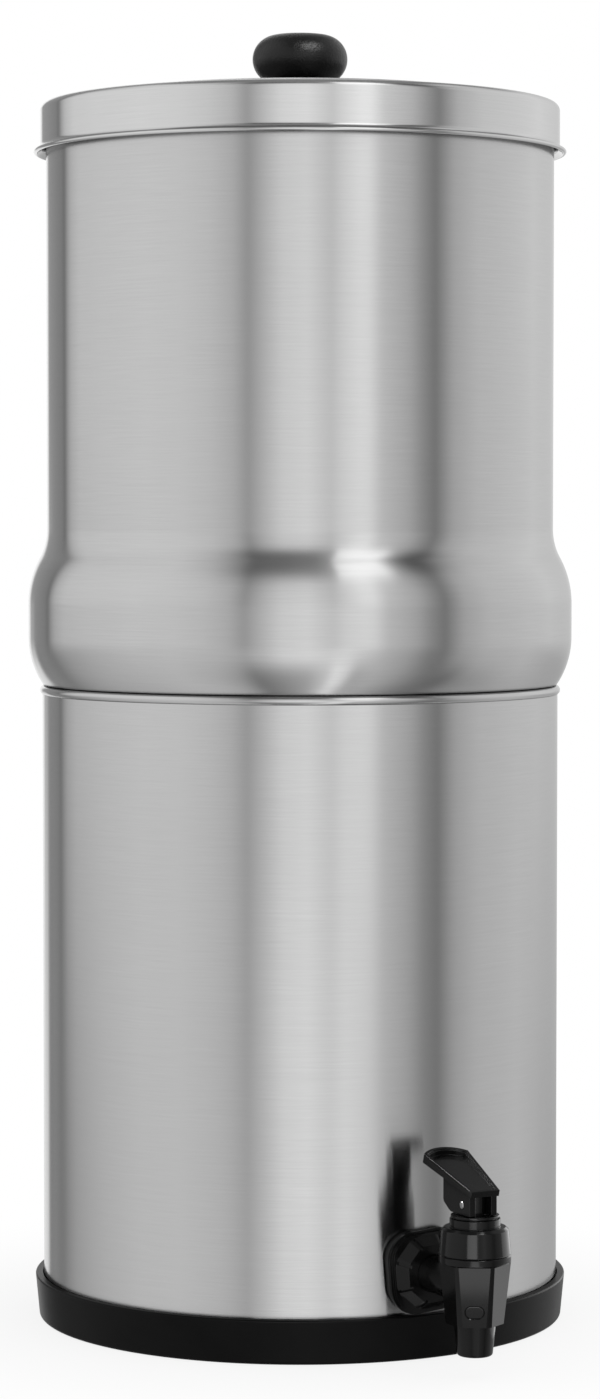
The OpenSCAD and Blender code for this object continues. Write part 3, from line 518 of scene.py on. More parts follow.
def lid_cover():
    """A shallow pan, upside down: a raised panel, a straight skirt and a flare with a round lip."""
    lip = Vector((lid_box[1].x - LID_LIP_R, lid_box[0].z + LID_LIP_R))
    flare = math.radians(LID_FLARE)
    flare_r = (lip.x - lid_r + SHEET / 2 * math.cos(flare)) / (1 - math.cos(flare))
    flare_z = lip.y + (flare_r + SHEET / 2) * math.sin(flare)
    reach = math.sqrt(LID_LIP_R ** 2 - (SHEET / 2) ** 2)
    side = math.degrees(math.atan2(SHEET / 2, reach))
    trim = math.degrees(reach / (flare_r + SHEET / 2))
    panel_r = lid_r - LID_BORDER
    path = points((KNOB_SCREW_R, lid_mid_z), (panel_r - PANEL_SLOPE, lid_mid_z), (panel_r, lid_top_z))
    path += arc((lid_r - LID_CORNER_R, lid_top_z - LID_CORNER_R), LID_CORNER_R, 90, 0)
    path += wall_rows(lid_r, lid_top_z - LID_CORNER_R, flare_z, BAND_ROWS)
    path += arc((lid_r + flare_r, flare_z), flare_r, 180, 180 + LID_FLARE - trim)
    path += points((lid_r, lip.y))
    back = LID_FLARE + 90
    outline = path[:-1] + arc(lip, LID_LIP_R, back - side, back - 360 + side, BEAD_STEP)
    outline += offset(path, -SHEET)[-2::-1]
    return finish_piece(lathe("lid_cover", outline), "cover", LID_STEEL, "lid")


def knob_moulding():
    """A round head on a neck that flares into the lid, with a blind hole for its screw."""
    low, high = (corner.z for corner in knob_box)
    head_r = knob_box[1].x - KNOB_EDGE_R
    foot_r = KNOB_NECK_R + KNOB_FLARE_R
    hole_top = low + KNOB_HOLE_DEPTH
    under = math.degrees(math.acos((KNOB_NECK_R - head_r) / KNOB_EDGE_R))
    outline = points((KNOB_SCREW_R, low), (foot_r, low))
    outline += arc((foot_r, low + KNOB_FOOT_H + KNOB_FLARE_R), KNOB_FLARE_R, 270, 180, BEAD_STEP)
    outline += arc((head_r, high - KNOB_EDGE_R), KNOB_EDGE_R, -under, 90)
    outline += points((0, high), (0, hole_top), (KNOB_SCREW_R, hole_top))
    knob = lathe("knob_moulding", outline, SMALL_ROUND)
    return finish_piece(knob, "cover", KNOB_PLASTIC, "lid_knob")


# ---------------------------------------------------------------- base ring

BASE_H = 18.1 * MM
BASE_DRAFT = 1.5 * MM  # how much larger the ring's radius is at its top
BASE_FOOT_R = 1.5 * MM
BASE_LEDGE_T = 5 * MM  # ledge that the chamber stands on
BASE_LEDGE_W = 14 * MM
BASE_GAP = 0.3 * MM    # round the chamber
BASE_STEP = 10         # degrees between the points of its outer fillets


def base_ring_moulding():
    top_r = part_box("base_ring")[1].x
    foot_r = top_r - BASE_DRAFT
    lip_r = BASE_FOOT_R / 2
    well_r = lower_r + BASE_GAP
    ledge_r = lower_r - BASE_LEDGE_W
    outline = points((ledge_r, 0))
    outline += arc((foot_r - BASE_FOOT_R, BASE_FOOT_R), BASE_FOOT_R, -90, 0, BASE_STEP)
    outline += arc((top_r - lip_r, BASE_H - lip_r), lip_r, 0, 90, BASE_STEP)
    outline += arc((well_r + lip_r / 2, BASE_H - lip_r / 2), lip_r / 2, 90, 180, BEAD_STEP)
    outline += points((well_r, BASE_LEDGE_T), (ledge_r, BASE_LEDGE_T))
    return finish_piece(lathe("base_ring_moulding", outline), "vessel", BASE_RUBBER, "base_ring")


# ---------------------------------------------------------------- tap body

SHANK_WAY_R = 4.5 * MM  # water way through the shank
BODY_COLLAR = 2.8 * MM  # height of the round collar over the flats
BODY_LAND = 0.4 * MM    # cone between the flats and the collar
BODY_DOWN = 13.8 * MM   # from the shank's axis down to the flats' ends
BODY_END_R = 11.3 * MM  # radius of the ridges there
BODY_BORE_R = 8.3 * MM
BODY_ROWS = 8           # steps up the flats
BODY_EDGE = 0.22 * MM   # rounding of its edges
BODY_EDGE_TURN = 15     # degrees from which an edge is rounded
FLATS = 6
FLAT_TOP = 12.55 * MM   # the flats' distance from the tap's axis, under the collar
FLAT_END = 10.35 * MM   # the same, at their lower ends
FLAT_SINK = 0.5 * MM    # dark line under the collar
SEAM = 0.4 * MM         # chamfers between body and bonnet
SEAT_UP = 2 * MM        # valve seat over the flats' ends
NOZZLE_TOP_R = 8.2 * MM
NOZZLE_END_R = 7.1 * MM
NOZZLE_EDGE_R = 1.2 * MM
OUTLET_R = 4.5 * MM
MARK_W = 7.2 * MM       # thumb mark, longer side
MARK_H = 4.8 * MM
MARK_DEPTH = 0.2 * MM
MARK_EDGE = 0.35 * MM   # groove round its floor
MARK_RIM = 0.2          # how far its cutter runs out of the flat, as a share of the groove
MARK_UP = 6 * MM
MARK_FLAT = 4           # which flat it is on, counted from +X

body_top = body_box[1].z
body_low = tap_z - BODY_DOWN
body_r = body_box[1].x


def faceted_ring(z, round_r, flat_r, per_flat=14, per_ridge=4):
    """A ring of flats joined by round ridges, whose points keep to the flats' edges at every height."""
    half = math.pi / FLATS
    edge = math.acos(min(1, flat_r / round_r))
    ring = []
    for flat in range(FLATS):
        middle = 2 * half * flat
        for i in range(per_flat):
            turn = edge * (2 * i / per_flat - 1)
            ring.append(polar(flat_r / math.cos(turn), middle + turn, z))
        for i in range(per_ridge):
            turn = edge + 2 * (half - edge) * i / per_ridge
            ring.append(polar(round_r, middle + turn, z))
    return ring


def matching_ring(z, r):
    """A round ring with as many points as a faceted one, turned the same way."""
    shape = faceted_ring(z, body_r, FLAT_TOP)
    return [Vector((r * p.x / p.xy.length, r * p.y / p.xy.length, z)) for p in shape]


def tap_body_moulding():
    """A six-sided taper under a round collar, with a nozzle, a shank and a bore for the valve."""
    flats_top = body_top - BODY_COLLAR
    cone_top = flats_top + BODY_LAND
    nozzle_low = body_box[0].z
    seat = body_low + SEAT_UP

    def ridge_r(z):
        return BODY_END_R + (body_r - BODY_END_R) * (z - body_low) / (cone_top - body_low)

    rings = []
    for row in range(BODY_ROWS + 1):
        share = row / BODY_ROWS
        z = body_low + (flats_top - FLAT_SINK - body_low) * share
        rings.append(faceted_ring(z, ridge_r(z), FLAT_END + (FLAT_TOP - FLAT_END) * share))
    rings.append(faceted_ring(flats_top, ridge_r(flats_top), FLAT_TOP - FLAT_SINK))
    nozzle_edge = (NOZZLE_END_R - NOZZLE_EDGE_R, nozzle_low + NOZZLE_EDGE_R)
    round_part = points(
        (ridge_r(flats_top), flats_top), (body_r, cone_top), (body_r, body_top - SEAM),
        (body_r - SEAM, body_top), (BODY_BORE_R, body_top), (BODY_BORE_R, seat), (OUTLET_R, seat),
        (OUTLET_R, nozzle_low), *arc(nozzle_edge, NOZZLE_EDGE_R, -90, 0, BEAD_STEP),
        (NOZZLE_TOP_R, body_low)
    )
    rings += [matching_ring(p.y, p.x) for p in round_part]
    body = skin("tap_body_moulding", rings, place=TAP_PLACE)
    round_edges(body, BODY_EDGE, BODY_EDGE_TURN)
    combine(body, "DIFFERENCE", thumb_mark())
    start = -body_box[1].y
    axis = -tap_axis.y
    shank = prism("shank", circle(SHANK_R, SHANK_STEP), start, axis - BODY_BORE_R - OVER, SHANK_PLACE)
    combine(body, "UNION", shank)
    way = prism("way", circle(SHANK_WAY_R, SHANK_STEP), start - OVER, axis - BODY_END_R / 2, SHANK_PLACE)
    combine(body, "DIFFERENCE", way)
    return finish_piece(body, "vessel", TAP_PLASTIC, "tap_body")


def thumb_mark():
    """The thumb mark's cutter: a shallow stadium on one of the flats, with a groove round its floor."""
    tilt = math.atan2(FLAT_TOP - FLAT_END, body_top - BODY_COLLAR - body_low)
    side = (MARK_W - MARK_H) / 2

    def stadium(grown, z):
        outline = arc((0, side), MARK_H / 2 + grown, 0, 180) + arc((0, -side), MARK_H / 2 + grown, 180, 360)
        return [Vector((p.x, p.y, z)) for p in outline]

    place = (TAP_PLACE @ Matrix.Translation((0, 0, body_low))
             @ Matrix.Rotation(2 * math.pi / FLATS * MARK_FLAT, 4, "Z")
             @ Matrix.Translation((FLAT_END, 0, 0)) @ Matrix.Rotation(tilt, 4, "Y")
             @ Matrix.Translation((0, 0, MARK_UP)) @ Matrix.Rotation(math.pi / 2, 4, "Y"))
    mouth = stadium((1 + MARK_RIM) * MARK_EDGE, MARK_RIM * MARK_EDGE)
    groove = stadium(0, -2 * MARK_DEPTH)
    floor = stadium(-MARK_EDGE, -MARK_DEPTH)
    return skin("mark", [mouth, groove, floor], closed=False, capped=True, place=place)


# ---------------------------------------------------------------- tap bonnet

BONNET_BEVEL = 1.2 * MM
BONNET_TOP_R = 13.2 * MM
BONNET_EDGE = 0.25 * MM  # rounding of its edges
BONNET_EDGE_TURN = 20    # degrees from which an edge is rounded
SKIRT_R = 10.2 * MM
NECK_R = 9.95 * MM
NECK_H = 3.2 * MM
NECK_GROOVE_R = 8.7 * MM
NECK_GROOVE_H = 0.4 * MM
TRACK_R = 9.5 * MM       # ring on which the lever's foot rolls
TRACK_H = 1.4 * MM
STEM_HOLE_R = 4.06 * MM
POCKET_R = 7.6 * MM      # room for the spring
ROOF_T = 2.6 * MM


def tap_bonnet_moulding():
    low, track_top = (corner.z for corner in bonnet_box)
    neck_top = track_top - TRACK_H
    top = neck_top - NECK_H
    roof = top - ROOF_T
    groove_top = neck_top + NECK_GROOVE_H
    outline = points(
        (POCKET_R, low), (SKIRT_R, low), (SKIRT_R, body_top), (body_r - SEAM, body_top),
        (body_r, body_top + SEAM), (BONNET_TOP_R, top - BONNET_BEVEL), (BONNET_TOP_R - BONNET_BEVEL, top),
        (NECK_R, top), (NECK_R, neck_top), (NECK_GROOVE_R, neck_top), (NECK_GROOVE_R, groove_top),
        (TRACK_R, groove_top), (TRACK_R, track_top), (STEM_HOLE_R, track_top), (STEM_HOLE_R, roof),
        (POCKET_R, roof)
    )
    bonnet = lathe("tap_bonnet_moulding", outline, SMALL_ROUND, TAP_PLACE)
    round_edges(bonnet, BONNET_EDGE, BONNET_EDGE_TURN)
    return finish_piece(bonnet, "vessel", TAP_PLASTIC, "tap_bonnet")


# ---------------------------------------------------------------- tap flange

FLANGE_W = 33 * MM
FLANGE_CORNER_R = 11 * MM
FLANGE_TURN = math.radians(5)
FLANGE_T = 3 * MM
FLANGE_STEP = 1.1 * MM   # how much its outer half stands back
FLANGE_POINTS = 192      # points round it
FLANGE_EDGE = 0.25 * MM  # rounding of its edges
FLANGE_EDGE_TURN = 25    # degrees from which an edge is rounded
BOSS_R = 15.2 * MM
BOSS_END_R = 11.9 * MM
BOSS_FLATS = 8
BOSS_CUT = 0.5 * MM      # depth of its flats
NOTCH_W = 1.2 * MM
NOTCH_CUT = 1.1 * MM

flange_turns = [2 * math.pi * (i + 0.5) / FLANGE_POINTS for i in range(FLANGE_POINTS)]


def square_ring(z, width, corner_r):
    """A square with round corners, as points at even angles about its middle."""
    straight = width / 2 - corner_r
    ring = []
    for turn in flange_turns:
        x, y = abs(math.cos(turn)), abs(math.sin(turn))
        reach = width / 2 / max(x, y)
        if min(x, y) * reach > straight:
            along = straight * (x + y)
            reach = along + math.sqrt(along ** 2 - 2 * straight ** 2 + corner_r ** 2)
        ring.append(polar(reach, turn, z))
    return ring


def boss_ring(z, round_r, flat_r):
    """A circle with flats, as points at the same angles."""
    pitch = 2 * math.pi / BOSS_FLATS
    off_flats = [(turn + pitch / 2) % pitch - pitch / 2 for turn in flange_turns]
    return [polar(min(round_r, flat_r / math.cos(off_flat)), turn, z)
            for turn, off_flat in zip(flange_turns, off_flats)]


def tap_flange_moulding():
    """A stepped square plate with round corners, and an eight-sided boss with a notch between its flats."""
    back = -flange_box[1].y
    end = -flange_box[0].y
    step_z = back + FLANGE_T / 2
    boss_z = back + FLANGE_T
    plate = (FLANGE_W, FLANGE_CORNER_R)
    stepped_plate = (FLANGE_W - 2 * FLANGE_STEP, FLANGE_CORNER_R - FLANGE_STEP)
    rings = [
        square_ring(back, *plate), square_ring(step_z, *plate),
        square_ring(step_z, *stepped_plate), square_ring(boss_z, *stepped_plate),
        boss_ring(boss_z, BOSS_R, BOSS_R - BOSS_CUT), boss_ring(end, BOSS_END_R, BOSS_END_R - BOSS_CUT),
        boss_ring(end, SHANK_HOLE_R, BOSS_R), boss_ring(back, SHANK_HOLE_R, BOSS_R)
    ]
    place = SHANK_PLACE @ Matrix.Rotation(FLANGE_TURN, 4, "Z")
    flange = skin("tap_flange_moulding", rings, place=place)
    notch = []
    for z in (boss_z, end + OVER):
        sunk = BOSS_R - NOTCH_CUT - (BOSS_R - BOSS_END_R) / (end - boss_z) * (z - boss_z)
        outside = BOSS_R + OVER
        corners = ((sunk, -1), (outside, -1), (outside, 1), (sunk, 1))
        notch.append([Vector((x, side * NOTCH_W / 2, z)) for x, side in corners])
    for flat in range(BOSS_FLATS):
        turned = place @ Matrix.Rotation(2 * math.pi / BOSS_FLATS * (flat + 0.5), 4, "Z")
        combine(flange, "DIFFERENCE", skin("notch", notch, closed=False, capped=True, place=turned))
    round_edges(flange, FLANGE_EDGE, FLANGE_EDGE_TURN)
    return finish_piece(flange, "vessel", TAP_PLASTIC, "tap_flange")


# ---------------------------------------------------------------- lever

PIN_UP = 3.8 * MM              # from the track to the pin's axis
PIN_BORE_R = 1.56 * MM
PIN_DOME = 0.3 * MM
CAM_RISE = 7.6 * MM            # lift of the cam foot, for each radian of tip
CAM_END = 32                   # degrees of tip that the cam is drawn for
CAM_STEP = 4                   # degrees between its points
FORK_W = 12.2 * MM
FORK_SLOT = 7.1 * MM
CHEEK_FRONT = 6.5 * MM
CHEEK_BACK = 14.6 * MM
CHEEK_CORNER_R = 2 * MM
CHEEK_EDGE = 0.2 * MM          # rounding of its edges
PAD_SLOPE = math.radians(16.6)
PAD_TAPER = math.radians(2.2)  # by which the pad gets thicker toward its thumb end
PAD_UP = 6.1 * MM              # from the pin's axis to the pad's underside
PAD_FRONT = 8 * MM             # from the pin's axis to the pad's front
PAD_SIDE = 33.4 * MM           # length of its straight sides
PAD_FRONT_W = 12.6 * MM
PAD_W = 19.8 * MM
PAD_END_BULGE = 4.4 * MM
PAD_T = 2.5 * MM
PAD_RIM = 1.3 * MM
PAD_EDGE = 0.3 * MM            # rounding of its edges
PAD_SIDE_STEPS = 24
PAD_STEP_W = 0.7 * MM          # step inside the rim
PAD_STEP_DROP = 0.45 * MM
DISH_FRONT = 0.6 * MM          # depth of the pad's floor in front and at the thumb end
DISH_BACK = 2.3 * MM
LEVER_EDGE_TURN = 40           # degrees from which an edge of pad and cheeks is rounded

pin_z = (pin_box[0].z + pin_box[1].z) / 2
LEVER_PLACE = Matrix.Translation((tap_axis.x, tap_axis.y, pin_z))
CHEEK_PLACE = LEVER_PLACE @ (Matrix.Rotation(math.pi / 2, 4, "Z") @ Matrix.Rotation(math.pi / 2, 4, "X"))
PAD_PLACE = (LEVER_PLACE @ Matrix.Translation((0, 0, PAD_UP)) @ Matrix.Rotation(PAD_SLOPE, 4, "X")
             @ Matrix.Translation((0, -PAD_FRONT, 0)))


def cheek_outline():
    """Side view of a cheek: a flat foot, a cam that grows with the angle of tip, and an upright back."""
    outline = points((-CHEEK_FRONT, -PIN_UP))
    for degrees in range(0, CAM_END + 1, CAM_STEP):
        a = math.radians(degrees)
        height = PIN_UP + CAM_RISE * a
        outline += points((height * math.sin(a) + CAM_RISE * math.cos(a),
                           CAM_RISE * math.sin(a) - height * math.cos(a)))
    last = outline[-1]
    end = math.radians(CAM_END)
    corner_y = CHEEK_BACK - CHEEK_CORNER_R
    corner_z = last.y + (CHEEK_CORNER_R + (corner_y - last.x) * math.sin(end)) / math.cos(end)
    outline += arc((corner_y, corner_z), CHEEK_CORNER_R, CAM_END - 90, 0)
    rise = math.tan(PAD_SLOPE)
    sunk = PAD_UP + OVER
    ends = [(y, sunk + y * rise) for y in (CHEEK_BACK, -CHEEK_FRONT)]
    return outline + points(*ends)


def pad_outline(grown):
    """The thumb pad from above, grown by a margin: narrow in front, wide and bowed at its thumb end."""
    half = PAD_W / 2
    end_r = (half ** 2 + PAD_END_BULGE ** 2) / (2 * PAD_END_BULGE)
    end_turn = math.degrees(math.asin(half / end_r))
    side = (PAD_W - PAD_FRONT_W) / 2 / PAD_SIDE
    front_x = PAD_FRONT_W / 2 + grown * (math.sqrt(1 + side ** 2) - side)
    back_x = half + grown
    bow = arc((0, PAD_SIDE + PAD_END_BULGE - end_r), end_r + grown, 90 - end_turn, 90 + end_turn)
    bow = [Vector((min(max(p.x, -back_x), back_x), p.y)) for p in bow]
    corners = points((-front_x, -grown), (front_x, -grown))
    steps = [i / PAD_SIDE_STEPS for i in range(1, PAD_SIDE_STEPS)]
    right = [corners[1].lerp(bow[0], step) for step in steps]
    left = [bow[-1].lerp(corners[0], step) for step in steps]
    return corners + right + bow + left


def tap_handle_moulding():
    """A dished thumb pad on a fork of two cheeks, bored for the pin."""
    cheek_t = (FORK_W - FORK_SLOT) / 2
    taper = math.tan(PAD_TAPER)
    fall = (DISH_BACK - DISH_FRONT) / PAD_SIDE - taper
    step_z = PAD_T - PAD_STEP_DROP

    def level(outline, start, rise):
        """A ring over the outline, whose height grows along the pad."""
        return [Vector((p.x, p.y, start + rise * p.y)) for p in outline]

    edge, rim, floor = (pad_outline(-inset) for inset in (0, PAD_RIM, PAD_RIM + PAD_STEP_W))
    rings = [
        level(edge, 0, 0), level(edge, PAD_T, taper), level(rim, PAD_T, taper), level(rim, step_z, taper),
        level(floor, step_z, taper), level(floor, PAD_T - DISH_FRONT, -fall)
    ]
    lever = skin("tap_handle_moulding", rings, closed=False, capped=True, place=PAD_PLACE)
    round_edges(lever, PAD_EDGE, LEVER_EDGE_TURN)
    cheeks = [prism("cheek", cheek_outline(), left, left + cheek_t, CHEEK_PLACE)
              for left in (-FORK_W / 2, FORK_W / 2 - cheek_t)]
    for cheek in cheeks:
        round_edges(cheek, CHEEK_EDGE, LEVER_EDGE_TURN)
    combine(lever, "UNION", *cheeks)
    combine(lever, "DIFFERENCE", prism("bore", circle(PIN_BORE_R), -FORK_W, FORK_W, CHEEK_PLACE))
    return finish_piece(lever, "lever", TAP_PLASTIC, "tap_handle")


def tap_pin():
    low, high = (corner.x for corner in pin_box)
    r = (pin_box[1].z - pin_box[0].z) / 2
    outline = points((0, low)) + arc((r - PIN_DOME, low + PIN_DOME), PIN_DOME, -90, 0, BEAD_STEP)
    outline += arc((r - PIN_DOME, high - PIN_DOME), PIN_DOME, 0, 90, BEAD_STEP) + points((0, high))
    pin = lathe("tap_pin_turned", outline, PIN_ROUND, LEVER_PLACE @ Matrix.Rotation(math.pi / 2, 4, "Y"))
    return finish_piece(pin, "stem", HARDWARE_STEEL, "tap_handle_pin")


# ---------------------------------------------------------------- pieces and kept nodes

# CAD nodes that keep their own shape, by the material that they take
KEPT_NODES = {
    HARDWARE_STEEL: ("lid_knob_washer", "lid_knob_screw", "tap_spring"),
    FILTER_PLASTIC: ("filter_base_1", "filter_base_2", "filter_cap_1", "filter_cap_2", "filter_wing_nuts"),
    FILTER_CERAMIC: ("filter_block_1", "filter_block_2"),
    SEAL_RUBBER: ("filter_washers", "blocking_plugs", "tap_gasket", "tap_inner_washer"),
    SILICONE: ("tap_seat_cup",),
    TAP_PLASTIC: ("tap_nut", "tap_stem"),
}

lower_chamber_shell()
upper_chamber_shell()
lid_cover()
knob_moulding()
base_ring_moulding()
tap_body_moulding()
tap_bonnet_moulding()
tap_flange_moulding()
handle = tap_handle_moulding()
handle_pin = tap_pin()

for material, node_names in KEPT_NODES.items():
    for node_name in node_names:
        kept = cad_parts[node_name]
        kept.data.materials.clear()
        kept.data.materials.append(material)


# ---------------------------------------------------------------- studio

CAMERA_TURN = math.radians(-27)
CAMERA_PITCH = math.radians(2.72)  # how far it looks down
CAMERA_DISTANCE = 1.6707
CAMERA_HEIGHT = 0.3381
CAMERA_LENS = 102.4
CAMERA_SENSOR = 36
FLOOR_R = 6.0
FLOOR_STEP = 10                    # degrees between the points of the floor's edge
FLOOR_DROP = 0.1 * MM              # so that the floor and the base ring don't share a plane
GLOW_NEAR, GLOW_FAR = 0.84, 1      # share of plain white that the camera sees in the floor
GLOW_FROM, GLOW_TO = 0.11, 0.26    # distances from the vessel's axis between which it grows

# How bright the studio looks in the steel, by degrees to the right of the camera, on four rows from the top
HIGH_WALLS = {
    -180: 0.8, -172: 0.75, -160: 0.35, -150: 0.36, -134: 0.38, -118: 0.72, -100: 0.9, -66: 0.93, -47: 0.73,
    -36: 0.45, -26: 0.13, -8: 0.15, 8: 0.25, 17: 0.5, 20: 1.5, 27: 1.75, 43: 1.8, 46: 1.2, 50: 0.5, 58: 0.1,
    66: 0.06, 76: 0.3, 88: 0.65, 110: 0.8, 130: 0.6, 145: 0.25, 162: 0.25, 172: 0.6, 180: 0.8,
}
UPPER_WALLS = {
    -180: 1.0, -165: 1.0, -160: 0.36, -148: 0.35, -136: 0.3, -133: 0.2, -130: 0.5, -126: 0.72, -118: 0.88,
    -100: 0.94, -73: 0.98, -54: 0.94, -41: 0.86, -30: 0.7, -23: 0.44, -15: 0.75, -8: 0.98, 3: 1.07, 14: 0.81,
    21: 1.06, 27: 1.25, 31: 1.24, 37: 0.88, 50: 0.68, 57: 0.45, 63: 0.28, 68: 0.45, 73: 0.63, 87: 0.8,
    130: 0.93, 160: 0.7,
}
LOWER_WALLS = {
    -180: 0.9, -155: 0.9, -151: 0.27, -142: 0.33, -130: 0.27, -127: 0.34, -118: 0.48, -107: 0.58, -96: 0.67,
    -75: 0.79, -55: 0.82, -35: 0.76, -23: 0.66, -15: 0.88, -7: 1.16, 3: 1.24, 12: 1.1, 20: 1.15, 27: 0.95,
    36: 0.7, 47: 0.53, 56: 0.31, 63: 0.27, 71: 0.5, 84: 0.66, 112: 0.74, 135: 0.58, 165: 0.45,
}
GROUND = {
    -180: 0.9, -158: 0.8, -152: 0.35, -134: 0.3, -130: 0.42, -110: 0.58, -90: 0.68, -60: 0.77, -42: 0.66,
    -31: 0.5, -22: 0.22, -10: 0.38, 4: 0.55, 13: 0.85, 17: 1.3, 22: 1.1, 26: 0.55, 36: 0.68, 48: 0.52,
    60: 0.3, 76: 0.15, 84: 0.35, 104: 0.5, 130: 0.62, 154: 0.55, 180: 0.6,
}
HIGH_FROM, HIGH_TO = 0.46, 0.69       # upward part of a direction, between the upper and the high row
LOWER_FROM, LOWER_TO = 0.0, -0.16     # the same, between the upper and the lower row
GROUND_FROM, GROUND_TO = -0.26, -0.7  # the same, between the lower row and the near floor
CEILING_FROM, CEILING_TO = 0.8, 0.9   # the same, where the darker ceiling starts
CEILING = 0.28
SECOND_LOOK = 0.4                     # how bright the studio stays in what is mirrored twice
SECOND_DEPTH = 1.5                    # glossy depth above which a ray is in its second mirroring or later
FILL_LEFT, FILL_RIGHT = 0.62, 1.25    # light on matt surfaces from the left and from the right
FILL_TURN = math.radians(70)          # where it is brightest, to the right of the camera


def seen_from(aim, turn, up, distance):
    """The point at a distance from aim, at degrees to the right of the camera and degrees upward."""
    azimuth, rise = math.radians(turn) + CAMERA_TURN, math.radians(up)
    away = Vector((math.sin(azimuth) * math.cos(rise), -math.cos(azimuth) * math.cos(rise), math.sin(rise)))
    return aim + away * distance


def group(name, items):
    """A collection of pieces that lamps can be limited to."""
    made = bpy.data.collections.new(name)
    for item in items:
        made.objects.link(item)
    return made


def pieces_of(*materials):
    """All pieces and kept nodes that have one of these materials."""
    meshes = [item for item in bpy.context.scene.objects if item.type == "MESH" and item.data.materials]
    return [item for item in meshes if item.data.materials[0] in materials]


def soft_lamp(name, width, height, level, seen_in, blocked_by=None):
    """A lamp that only some pieces show, so that their faces and edges stand out."""
    data = bpy.data.lights.new(name, "AREA")
    data.shape = "RECTANGLE"
    data.size, data.size_y = width, height
    data.energy = level * math.pi * width * height  # as bright at any size
    lamp = add_object(name, data)
    lamp.visible_camera = False
    lamp.light_linking.receiver_collection = seen_in
    lamp.light_linking.blocker_collection = blocked_by
    return lamp


def aimed_lamp(name, aim, turn, up, distance, **settings):
    """A soft lamp that faces aim, from degrees to the right of the camera and degrees upward."""
    lamp = soft_lamp(name, **settings)
    lamp.location = seen_from(aim, turn, up, distance)
    lamp.rotation_euler = (lamp.location - aim).to_track_quat("Z", "Y").to_euler()


def table_lamp(name, turn, distance, **settings):
    """A soft lamp on the table beside the tap, which shines upward."""
    lamp = soft_lamp(name, **settings)
    lamp.location = seen_from(Vector((tap_axis.x, tap_axis.y, FLOOR_DROP)), turn, 0, distance)
    lamp.rotation_euler = (math.pi, 0, CAMERA_TURN + math.radians(turn))


def studio_lamps():
    black = group("black_pieces", pieces_of(TAP_PLASTIC, KNOB_PLASTIC, BASE_RUBBER))
    tap = group("tap_pieces", pieces_of(TAP_PLASTIC))
    lever = group("lever_pieces", [handle, handle_pin])
    tap_middle = Vector((tap_axis.x, tap_axis.y, tap_z))
    knob_middle = Vector((0, 0, lid_top_z))
    aimed_lamp("front_box", tap_middle, turn=-11, up=8, distance=0.7,
               width=0.4, height=0.38, level=4, seen_in=black)
    aimed_lamp("right_box", tap_middle, turn=128, up=8, distance=0.8,
               width=1.0, height=0.5, level=1.6, seen_in=black)
    aimed_lamp("edge_box", tap_middle, turn=-117, up=47, distance=0.5,
               width=0.25, height=0.25, level=60, seen_in=lever, blocked_by=lever)
    aimed_lamp("back_box", tap_middle, turn=-158, up=2, distance=0.5,
               width=0.08, height=0.2, level=3, seen_in=tap, blocked_by=lever)
    table_lamp("front_table_box", turn=-2, distance=0.195, width=0.1, height=0.19, level=2.7, seen_in=tap)
    table_lamp("right_table_box", turn=114, distance=0.13, width=0.12, height=0.14, level=1.35, seen_in=tap)
    aimed_lamp("knob_box", knob_middle, turn=33, up=48, distance=0.9,
               width=0.4, height=0.3, level=10, seen_in=black)


def wall_ramp(s, turn, walls):
    """A ramp of greys by the turn from the camera, where turn runs from 0 to 1 for -180 to 180 degrees."""
    ramp = s.add("ValToRGB")
    stops = ramp.color_ramp.elements
    while len(stops) > 1:
        stops.remove(stops[-1])
    for i, (degrees, level) in enumerate(walls.items()):
        place = (degrees + 180) / 360
        stop = stops[0] if i == 0 else stops.new(place)
        stop.position = place
        stop.color = (*grey(level), 1)
    s.feed(ramp.inputs[0], turn)
    return ramp.outputs[0]


class WorldShader(Shader):
    """The nodes of the world, with the same short calls."""

    def __init__(self):
        world = bpy.data.worlds.new("studio")
        world.use_nodes = True
        world.cycles.sampling_method = "NONE"
        bpy.context.scene.world = world
        self.tree = world.node_tree
        self.place = self.add("TexCoord").outputs["Generated"]

    def blend(self, fac, first, second):
        """A number between two others. Inputs 2 and 3 of the node are its numbers."""
        node = self.add("Mix", data_type="FLOAT")
        for socket, value in zip(node.inputs[:1] + node.inputs[2:4], (fac, first, second)):
            self.feed(socket, value)
        return node.outputs[0]


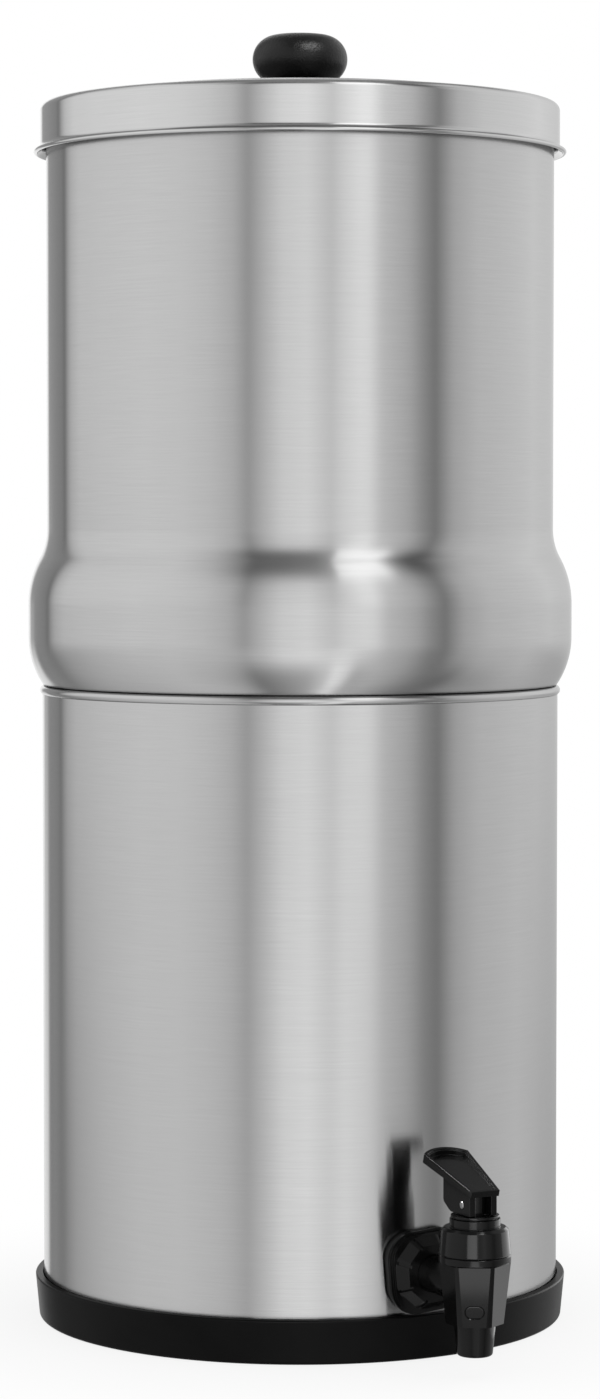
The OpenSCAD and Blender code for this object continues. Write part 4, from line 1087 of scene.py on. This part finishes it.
def studio_light():
    """White to the camera, plain light for matt surfaces, and a ring of walls for what is glossy."""
    s = WorldShader()
    turned = s.add("VectorRotate", rotation_type="Z_AXIS")
    s.feed(turned.inputs["Vector"], s.place)
    turned.inputs["Angle"].default_value = -CAMERA_TURN
    x, y, up = s.parts(turned.outputs[0])
    turn = s.spread(s.math("ARCTAN2", x, s.math("MULTIPLY", y, -1.0)), 0, 1, -math.pi, math.pi)

    def row(walls):
        return wall_ramp(s, turn, walls)

    def rising(start, end):
        return s.spread(up, 0, 1, start, end, "SMOOTHSTEP")

    walls = s.blend(s.spread(up, 0, 1, LOWER_FROM, LOWER_TO), row(UPPER_WALLS), row(LOWER_WALLS))
    walls = s.blend(rising(GROUND_FROM, GROUND_TO), walls, row(GROUND))
    walls = s.blend(rising(HIGH_FROM, HIGH_TO), walls, row(HIGH_WALLS))
    walls = s.blend(rising(CEILING_FROM, CEILING_TO), walls, CEILING)
    rays = s.add("LightPath").outputs
    again = s.math("GREATER_THAN", rays["Glossy Depth"], SECOND_DEPTH)
    mirrored = s.math("MULTIPLY", walls, s.blend(again, 1.0, SECOND_LOOK))
    aim = s.add("VectorMath", operation="DOT_PRODUCT")
    s.feed(aim.inputs[0], turned.outputs[0])
    aim.inputs[1].default_value = (math.sin(FILL_TURN), -math.cos(FILL_TURN), 0)
    fill = s.spread(aim.outputs["Value"], FILL_LEFT, FILL_RIGHT, -1, 1)
    level = s.blend(rays["Is Glossy Ray"], fill, mirrored)
    white = s.math("MAXIMUM", rays["Is Camera Ray"], rays["Is Transmission Ray"])
    background = s.tree.nodes["Background"]
    s.feed(background.inputs["Color"], s.blend(white, level, 1.0))
    background.inputs["Strength"].default_value = 1.0


def studio_floor():
    """A pale floor that keeps the shadow and fades to white further out."""
    outline = [(p.x, p.y, -FLOOR_DROP) for p in circle(FLOOR_R, FLOOR_STEP)]
    mesh = bpy.data.meshes.new("studio_floor")
    mesh.from_pydata(outline, [], [list(range(len(outline)))])
    floor = add_object("studio_floor", mesh)
    s = Shader("studio_floor_paper")
    paper = s.noise(300, detail=3)
    s.set(Base_Color=s.tint(paper, grey(0.88), grey(0.92)), Roughness=0.9, Specular_IOR_Level=0.0)
    length = s.add("VectorMath", operation="LENGTH")
    s.feed(length.inputs[0], s.place)
    share = s.spread(length.outputs["Value"], GLOW_NEAR, GLOW_FAR, GLOW_FROM, GLOW_TO, "SMOOTHSTEP")
    mix = s.add("MixShader")
    s.feed(mix.inputs[0], s.math("MULTIPLY", share, s.add("LightPath").outputs["Is Camera Ray"]))
    s.feed(mix.inputs[1], s.surface.outputs[0])
    s.feed(mix.inputs[2], s.add("Emission").outputs[0])
    s.feed(s.tree.nodes["Material Output"].inputs["Surface"], mix.outputs[0])
    floor.data.materials.append(s.material)
    floor.visible_glossy = False


def studio_camera():
    data = bpy.data.cameras.new("camera")
    data.lens = CAMERA_LENS
    data.sensor_width = CAMERA_SENSOR
    camera = add_object("camera", data)
    camera.location = (math.sin(CAMERA_TURN) * CAMERA_DISTANCE, -math.cos(CAMERA_TURN) * CAMERA_DISTANCE,
                       CAMERA_HEIGHT)
    camera.rotation_euler = (math.pi / 2 - CAMERA_PITCH, 0, CAMERA_TURN)
    bpy.context.scene.camera = camera


studio_lamps()
studio_light()
studio_floor()
studio_camera()
bpy.context.scene.view_settings.view_transform = "Standard"
